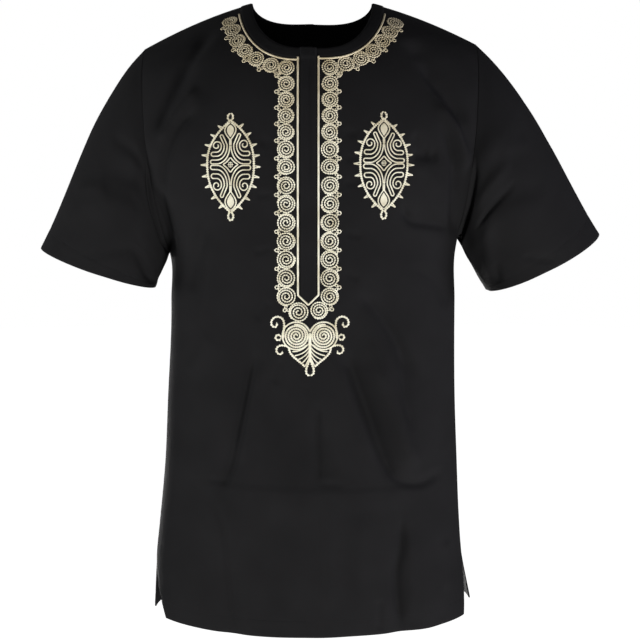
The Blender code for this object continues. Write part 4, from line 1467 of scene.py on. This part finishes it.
@dataclass(frozen=True)
class Rosettes:
    """The two chains of coiled motifs beside the cord, with a small picot between each two."""

    turns: float = 3.5
    closed_turns: float = 0.7
    turn_on: float = 0.9
    heart: float = 0.0012
    edge: float = 0.0007
    picot_out: float = 0.0076
    neck_right: tuple[Point, ...] = (
        (-0.1023, 0.0475),
        (-0.0978, 0.0700),
        (-0.0915, 0.0920),
        (-0.0818, 0.1100),
        (-0.0678, 0.1245),
        (-0.0498, 0.1350),
    )
    neck_left: tuple[Point, ...] = (
        (0.1028, 0.0515),
        (0.0955, 0.0750),
        (0.0862, 0.0940),
        (0.0752, 0.1120),
        (0.0600, 0.1250),
        (0.0412, 0.1340),
    )
    column_right: float = -0.0312
    column_left: float = 0.0216
    runs: tuple[float, ...] = (
        0.1400, 0.1575, 0.1740, 0.1900, 0.2055, 0.2220, 0.2390,
        0.2605, 0.2825, 0.3050, 0.3275, 0.3500, 0.3730, 0.3955,
    )
    last_right: Point = (-0.0165, 0.4145)
    last_left: Point = (0.0085, 0.4125)

    def centres(self, side: Side) -> Array:
        """(x, run) of one chain's centres, from the shoulder down.

        Args:
            side: The side of the chain.

        Returns:
            The centres, one a row.
        """
        right = side is WEARER_RIGHT
        column = self.column_right if right else self.column_left
        down = np.stack([np.full(len(self.runs), column), self.runs], axis=1)
        neck = np.array(self.neck_right if right else self.neck_left)
        return np.concatenate([neck, down, [self.last_right if right else self.last_left]])

    def coil(self, radius: float, sign: int, start: float) -> Array:
        """A coil from its heart to its rim: the radius grows evenly with the angle, and the rim closes.

        Args:
            radius: The rim's radius.
            sign: 1, or -1 to turn the other way.
            start: The first angle, in radians.

        Returns:
            The coil's points about its heart.
        """
        angle = np.linspace(0, 2 * np.pi * self.turns, 260)
        share = np.clip(angle / (2 * np.pi * (self.turns - self.closed_turns)), 0, 1)
        size = mix(self.heart, radius, share)
        return np.stack([size * np.cos(angle * sign + start), size * np.sin(angle * sign + start)], axis=1)

    def picot(self, out: float) -> list[Array]:
        """Three small loops in a fan, at the given distance out along u."""
        return [
            arc((out + 0.6 * MM, -2.3 * MM), 1.6 * MM, 120, 470, 18),
            arc((out + 0.6 * MM, 2.3 * MM), 1.6 * MM, 240, -110, 18),
            arc((out + 4.2 * MM, 0), 1.9 * MM, 180, 540, 20),
        ]

    def lines(self, side: Side) -> list[Line]:
        """Every line of thread of one chain.

        A rosette's radius is half the mean distance to its neighbours. A picot lies between two rosettes
        on the side away from the cord, square to the line from one to the next.

        Args:
            side: The side of the chain.

        Returns:
            The lines, in (x, run), with their stitches.
        """
        centres = self.centres(side)
        middles = (centres[1:] + centres[:-1]) / 2
        steps = np.diff(centres, axis=0)
        flows = np.array([FORM.metric(middle) @ step for middle, step in zip(middles, steps)])
        gaps = np.linalg.norm(flows, axis=1)
        radii = (np.concatenate([gaps[:1], gaps]) + np.concatenate([gaps, gaps[-1:]])) / 4
        found = []
        for k, (centre, radius) in enumerate(zip(centres, radii)):
            coil = self.coil(radius - self.edge, side.sign, self.turn_on * k)
            found.append((FORM.laid(centre, coil), CHAIN))
        for middle, flow in zip(middles, unit(flows) * side.sign):
            turned = np.array([[flow[1], flow[0]], [-flow[0], flow[1]]])
            found += [(FORM.laid(middle, loop @ turned.T), PICOT) for loop in self.picot(self.picot_out)]
        return found

    def build(self, look: Material) -> dict:
        """Builds both chains."""
        sides = ((WEARER_RIGHT, "rosettes_right"), (WEARER_LEFT, "rosettes_left"))
        return {name: embroider(name, self.lines(side), look) for side, name in sides}


@dataclass(frozen=True)
class Medallion:
    """A pointed oval of curled lines: four mirrored quarters round a star, in a border with spikes.

    Its sizes are millimetres, u goes right and v down, and what lies below its centre is drawn longer.
    """

    name: str
    x: float
    run: float
    half_width: float = 29.0
    half_height: float = 53.6
    rim_power: float = 2.4
    lower: float = 1.085
    curl: Point = (17.1, -22.6)
    rise: float = 118.0
    across: tuple[float, ...] = (5.8, 9.4, 13.0, 16.3)
    along: tuple[float, ...] = (7.0, 12.1, 16.9, 21.7)
    rim_gap: float = 4.0
    stem: float = 0.75
    spikes_left: tuple[float, ...] = (-44.6, -34.9, -23.3, -11.2, 0.5, 12.6, 23.6, 35.4, 45.2)
    spikes_right: tuple[float, ...] = (-44.0, -33.8, -21.6, -9.8, 2.2, 12.6, 22.8, 36.0, 45.6)

    def rim(self, v: Array | float) -> Array:
        """Half the width of the border at the height v. It comes to a point at both tips."""
        return self.half_width * (1 - np.minimum(np.abs(v / self.half_height), 1) ** self.rim_power)

    def bow(self, k: int, start: float, end: float) -> Array:
        """Part of the k-th oval round the curl's centre. Angles are degrees from +u towards +v."""
        return arc((0, 0), 1, start, end, 36) * (self.across[k], self.along[k]) + np.array(self.curl)

    def side_turn(self, k: int) -> Array:
        """The half circle at the side that joins the level ends of the ovals k and k + 1.

        Args:
            k: The number of the inner oval.

        Returns:
            Its points.
        """
        low, high = self.curl[1] + self.along[k + 1], self.curl[1] + self.along[k]
        radius = (low - high) / 2
        middle = (low + high) / 2
        return arc((self.rim(middle) - self.rim_gap - radius, middle), radius, -90, 90, 18)

    def quarter(self) -> list[Array]:
        """The lines of the upper right quarter.

        They are ovals round the curl's centre, level at the bottom where they go to the side, and
        leaning outwards at the top. Neighbours are joined in turn at the side or at the top.

        Returns:
            The line that starts in the curl, and the one that goes up the stem.
        """
        start = self.rise + 62
        angle = np.radians(np.linspace(start + 420, start, 80))
        size = np.linspace(0.22, 1, 80) ** 0.9
        oval = (self.across[0] * np.cos(angle), 0.82 * self.along[0] * np.sin(angle))
        curl = size[:, None] * np.stack(oval, axis=1)
        lean = math.radians(self.rise - 90)
        up = np.array([math.sin(lean), -math.cos(lean)])
        middle = (self.across[1] + self.across[2]) / 2
        top = np.array([self.curl[0] - middle, self.curl[1] - 3.0]) + up * 10.5
        long_line = np.concatenate([
            curl + np.array(self.curl) + np.array([0, -0.9]),
            self.bow(0, 180, 90)[4:],
            self.side_turn(0),
            self.bow(1, 90, 186),
            arc(tuple(top), (self.across[2] - self.across[1]) / 2, self.rise - 90, self.rise - 270, 16),
            self.bow(2, 186, 90),
            self.side_turn(2),
            self.bow(3, 90, 182),
        ])
        long_line[:, 0] = np.maximum(long_line[:, 0], self.stem)
        return [long_line, np.array([(self.stem, -23.0), (self.stem, -30.4)])]

    def drop_outline(self, low: float, high: float, half: float) -> Array:
        """One side of a drop: pointed below and round above, half * sin(pi s^1.25)^0.9 wide."""
        s = np.linspace(0, 1, 50)
        return np.stack([half * np.abs(np.sin(np.pi * s**1.25)) ** 0.9, mix(low, high, s)], axis=1)

    def fill(self) -> Array:
        """A close zigzag that fills the upper drop.

        Returns:
            Its points.
        """
        outline = self.drop_outline(-32.6, -48.4, 4.4)
        rows = 27
        v = np.repeat(np.linspace(-33.2, -48.0, rows), 2)
        width = np.interp(-v, -outline[:, 1], outline[:, 0])
        return np.stack([width * np.resize([-1, 1, 1, -1], 2 * rows), v], axis=1)

    def spike(self, side: int, height: float) -> list[Array]:
        """A spike of the border: two threads from the rim that meet in a tip.

        Args:
            side: 1 on the right, -1 on the left.
            height: The height of its base on the rim.

        Returns:
            The two threads.
        """
        base = np.array([self.rim(height), height])
        angle = math.radians(0.82 * height)
        out = np.array([math.cos(angle), math.sin(angle)])
        aside = np.array([-out[1], out[0]])
        length = 8.4 - 0.035 * abs(height)
        return [np.array([base + way * 1.35 * aside, base + length * out]) * (side, 1) for way in (1, -1)]

    def star(self) -> list[Line]:
        """The hatched star with four hollow sides in the middle.

        Returns:
            Its lines, with their stitches.
        """
        edge = curve(((0, -8.8), (3.1, -5.0), (5.6, -2.6), (9.6, 0)), 24)
        found = [(edge * (side, end), CURL) for side in (1, -1) for end in (1, -1)]
        for u, reach in ((-2.0, 2.6), (0, 3.6), (2.0, 2.6)):
            found.append((np.array([(u, -reach), (u, reach)]), HATCH))
        for v, reach in ((-2.6, 2.0), (0, 3.8), (2.6, 2.0)):
            found.append((np.array([(-reach, v), (reach, v)]), HATCH))
        return found

    def lines(self) -> list[Line]:
        """Every line of thread about the centre, before what lies below is drawn longer.

        Returns:
            The lines, with their stitches.
        """
        found = self.star()
        for side in (1, -1):
            for end in (1, -1):
                mirror = np.array([side, end])
                found += [(line * mirror, CURL) for line in self.quarter()]
                found.append((self.drop_outline(-29.2, -51.2, 6.9) * mirror, CURL))
        for end in (1, -1):
            found.append((self.fill() * np.array([1, end]), FILL))
            found.append((arc((0, 0), 1, -90, 270, 40) * (3.2, 4.3) + (0, end * 57.8), LOOP))
        v = np.linspace(-1, 1, 200) * self.half_height
        for side, heights in ((1, self.spikes_right), (-1, self.spikes_left)):
            found.append((np.stack([side * self.rim(v), v], axis=1), BORDER))
            for height in heights:
                found += [(line, SPIKE) for line in self.spike(side, height)]
        return found

    def build(self, look: Material) -> bpy.types.Object:
        """Builds the medallion on the front.

        Args:
            look: Its material.

        Returns:
            The new piece.
        """
        lines = []
        for line, stitch in self.lines():
            fine = evenly(line, max(12, 4 * len(line)))
            fine[:, 1] = np.where(fine[:, 1] > 0, fine[:, 1] * self.lower, fine[:, 1])
            lines.append((FORM.hung((self.x, self.run), fine * MM), stitch))
        return embroider(self.name, lines, look)


@dataclass(frozen=True)
class Pendant:
    """The heart under the placket: two coiled discs, hooks and loops at the sides, and a ribbed leaf.

    The sizes of its lines are millimetres about the middle of the discs.
    """

    x: float = -0.0025
    run: float = 0.4435
    disc_aside: float = 16.7
    disc_heart: float = 0.8
    disc_radius: float = 13.9
    disc_start: float = 2.4
    rim_radius: float = 16.9
    disc_turns: float = 4.4
    hook: tuple[Point, ...] = (
        (32.6, 4.0), (32.0, -6.0), (31.4, -14.0), (33.2, -20.4), (38.0, -23.4), (43.6, -22.2),
        (47.0, -17.4), (46.0, -12.2), (42.2, -10.8), (40.2, -13.8), (40.8, -16.4),
    )
    lower_hook: tuple[Point, ...] = (
        (26.5, 13.4), (31.5, 12.0), (36.5, 12.0), (40.2, 14.8),
        (40.6, 19.0), (37.6, 22.2), (34.2, 21.6), (33.6, 18.4),
    )
    heart_side: tuple[Point, ...] = (
        (26.2, 13.2), (23.9, 21.0), (19.6, 26.0), (14.6, 30.3), (9.5, 34.5), (5.4, 38.6),
    )
    ribs: tuple[tuple[Point, ...], ...] = (
        ((0.6, 9.0), (7.5, 15.2), (14.5, 18.6), (21.8, 19.6)),
        ((0.6, 13.6), (6.0, 19.4), (12.0, 22.6), (19.0, 24.6)),
        ((0.6, 18.0), (5.0, 23.4), (9.5, 26.8), (14.6, 29.4)),
        ((0.6, 22.4), (3.8, 27.2), (6.6, 30.6), (9.8, 33.6)),
        ((0.6, 26.6), (2.6, 30.8), (4.2, 34.2), (6.0, 37.2)),
    )
    stem: tuple[Point, Point] = ((0, -4.0), (0, 32.0))

    def half(self) -> list[Line]:
        """The lines of the right half.

        Returns:
            The lines, with their stitches.
        """
        angle = np.linspace(0, 2 * np.pi * self.disc_turns, 400)
        share = angle / (2 * np.pi * (self.disc_turns - 0.5))
        size = np.minimum(mix(self.disc_heart, self.disc_radius, share), self.disc_radius)
        turned = angle + self.disc_start
        return [
            (np.stack([self.disc_aside + size * np.cos(turned), size * np.sin(turned)], axis=1), DISC),
            (arc((self.disc_aside, 0), self.rim_radius, 196, 500, 120), OUTLINE),
            (curve(((0, -6.6), (0.9, -7.2), (2.6, -9.0), (5.2, -12.4)), 24), OUTLINE),
            (curve(self.hook, 90), LOOP),
            (arc((38.6, 2.1), 3.2, -180, 180, 40), LOOP),
            (curve(self.lower_hook, 60), LOOP),
            (curve(self.heart_side, 60), BORDER),
            *((curve(rib, 30), CURL) for rib in self.ribs),
            (curve(((0.8, 30.5), (2.8, 36.0), (4.6, 42.0), (3.7, 47.0), (0, 49.3)), 40), LOOP),
        ]

    def build(self, look: Material) -> bpy.types.Object:
        """Builds the pendant on the front, with a wide stitch down its stem.

        Args:
            look: Its material.

        Returns:
            The new piece.
        """
        lines = [(line * (side, 1), stitch) for side in (1, -1) for line, stitch in self.half()]
        lines.append((np.array(self.stem), STEM))
        placed = []
        for line, stitch in lines:
            fine = evenly(line, max(12, 2 * len(line)))
            placed.append((FORM.hung((self.x, self.run), fine * MM), stitch))
        return embroider("pendant", placed, look)


@dataclass(frozen=True)
class Lamp:
    """A square soft light: where it stands, what it faces, its side, its watts and its colour."""

    name: str
    place: tuple[float, float, float]
    aim: tuple[float, float, float]
    size: float
    power: float
    colour: tuple[float, float, float] = (1.0, 1.0, 1.0)

    def build(self) -> None:
        """Adds the light, turned to face its aim."""
        lamp = bpy.data.lights.new(self.name, "AREA")
        lamp.size = self.size
        lamp.energy = self.power
        lamp.color = self.colour
        obj = bpy.data.objects.new(self.name, lamp)
        obj.visible_camera = False
        bpy.context.scene.collection.objects.link(obj)
        obj.location = self.place
        toward = np.array(self.aim) - np.array(self.place)
        flat = math.hypot(toward[0], toward[1])
        obj.rotation_euler = (math.atan2(flat, -toward[2]), 0, math.atan2(-toward[0], toward[1]))


@dataclass(frozen=True)
class Studio:
    """The floor, the plain white surround, the lights and the camera."""

    floor_height: float = -2.30
    floor_radius: float = 14.0
    dome_radius: float = 13.5
    dome_start: float = -0.3
    camera: tuple[float, float, float] = (0.0098, -2.3, -0.08)
    pitch: float = 7.97
    lens: float = 101.25
    ambient: float = 0.17
    lamps: tuple[Lamp, ...] = (
        Lamp("front", (0.95, -2.2, -2.10), (0, 0, -0.50), 0.9, 130, (1.0, 0.985, 0.965)),
        Lamp("left low", (-1.9, -1.2, -1.20), (-0.28, 0, -0.20), 0.6, 12),
        Lamp("left high", (-1.9, -0.3, -0.15), (-0.28, 0, -0.20), 0.6, 27),
        Lamp("right low", (1.9, -1.2, -1.20), (0.28, 0, -0.20), 0.6, 6, (0.90, 0.87, 1.0)),
        Lamp("right high", (1.9, -0.3, 0.00), (0.28, 0, -0.20), 0.6, 16, (0.90, 0.88, 1.0)),
        Lamp("back", (-1.1, 2.3, -1.95), (0, 0, -0.45), 0.9, 120, (1.0, 0.99, 0.98)),
    )

    def background(self, name: str, points: list, faces: list, look: Material) -> bpy.types.Object:
        """A stage mesh that is seen but lights nothing.

        Args:
            name: Its name.
            points: Its points.
            faces: Its faces, as lists of point numbers.
            look: Its material.

        Returns:
            The new object.
        """
        mesh = bpy.data.meshes.new(name)
        mesh.from_pydata(points, [], faces)
        mesh.materials.append(look)
        obj = bpy.data.objects.new(name, mesh)
        obj.visible_diffuse = False
        obj.visible_glossy = False
        bpy.context.scene.collection.objects.link(obj)
        return obj

    def surround(self) -> None:
        """A wide pale floor, and a plain white dome that casts no shadow."""
        pale = Look("studio_floor", {"Emission Strength": 0.9, "Roughness": 0.9, "Specular IOR Level": 0.1})
        pale.feed(pale.shader, {"Base Color": (0.93, 0.93, 0.93, 1), "Emission Color": (1, 1, 1, 1)})
        turn = np.linspace(0, 2 * np.pi, 97)[:-1]
        rim = np.stack([np.cos(turn), np.sin(turn), 0 * turn], axis=1) * self.floor_radius
        rim[:, 2] = self.floor_height
        floor = self.background("floor", rim.tolist(), [list(range(len(rim)))], pale.material)
        white = Look("studio_white", {})
        white.nodes.clear()
        glow = white.add("Emission", {"Color": (1, 1, 1, 1)})["Emission"]
        white.add("OutputMaterial", {"Surface": glow})
        turn = np.linspace(0, 2 * np.pi, 49)[None, :]
        lift = np.linspace(self.dome_start, np.pi / 2, 25)[:, None]
        ball = (np.cos(lift) * np.cos(turn), np.cos(lift) * np.sin(turn), np.sin(lift))
        dome = self.dome_radius * np.stack(np.broadcast_arrays(*ball), axis=-1)
        index = np.arange(dome.shape[0] * dome.shape[1]).reshape(dome.shape[:2])
        faces = quads(index[:-1, :-1], index[:-1, 1:], index[1:, 1:], index[1:, :-1])
        around = self.background("surround", dome.reshape(-1, 3).tolist(), faces.tolist(), white.material)
        around.visible_shadow = False

    def build(self) -> None:
        """Sets the studio up."""
        self.surround()
        scene = bpy.context.scene
        scene.world = bpy.data.worlds.new("studio")
        scene.world.use_nodes = True
        background = scene.world.node_tree.nodes["Background"]
        background.inputs["Color"].default_value = (1, 1, 1, 1)
        background.inputs["Strength"].default_value = self.ambient
        for lamp in self.lamps:
            lamp.build()
        data = bpy.data.cameras.new("camera")
        data.lens = self.lens
        data.sensor_width = 36
        scene.camera = bpy.data.objects.new("camera", data)
        scene.camera.location = self.camera
        scene.camera.rotation_euler = (math.radians(90 - self.pitch), 0, 0)
        scene.collection.objects.link(scene.camera)
        scene.view_settings.view_transform = "Standard"


def main() -> None:
    """Builds the tunic, its trims and embroidery and the studio."""
    logging.basicConfig(level=logging.INFO, format="%(message)s")
    cotton = Cotton().material("black_cotton_cloth")
    thread = SatinThread().material("gold_satin_thread")
    black = BlackThread().material("black_sewing_thread")
    cloth, stitches = Shirting(cotton, black).build()
    trim = NeckTrim()
    bands = trim.bands(cotton)
    cords = trim.cords(thread)
    rosettes = Rosettes().build(thread)
    medallions = [
        Medallion("medallion_right", -0.0985, 0.2362).build(thread),
        Medallion("medallion_left", 0.0870, 0.2348).build(thread),
    ]
    pendant = Pendant().build(thread)
    embroidery = [*rosettes.values(), *medallions, pendant]
    Studio().build()
    groups = (cloth, stitches, bands, cords)
    for piece in (*(each for group in groups for each in group.values()), *embroidery):
        LOG.info("%s: %d faces", piece.name, len(piece.data.polygons))


if __name__ == "__main__":
    main()
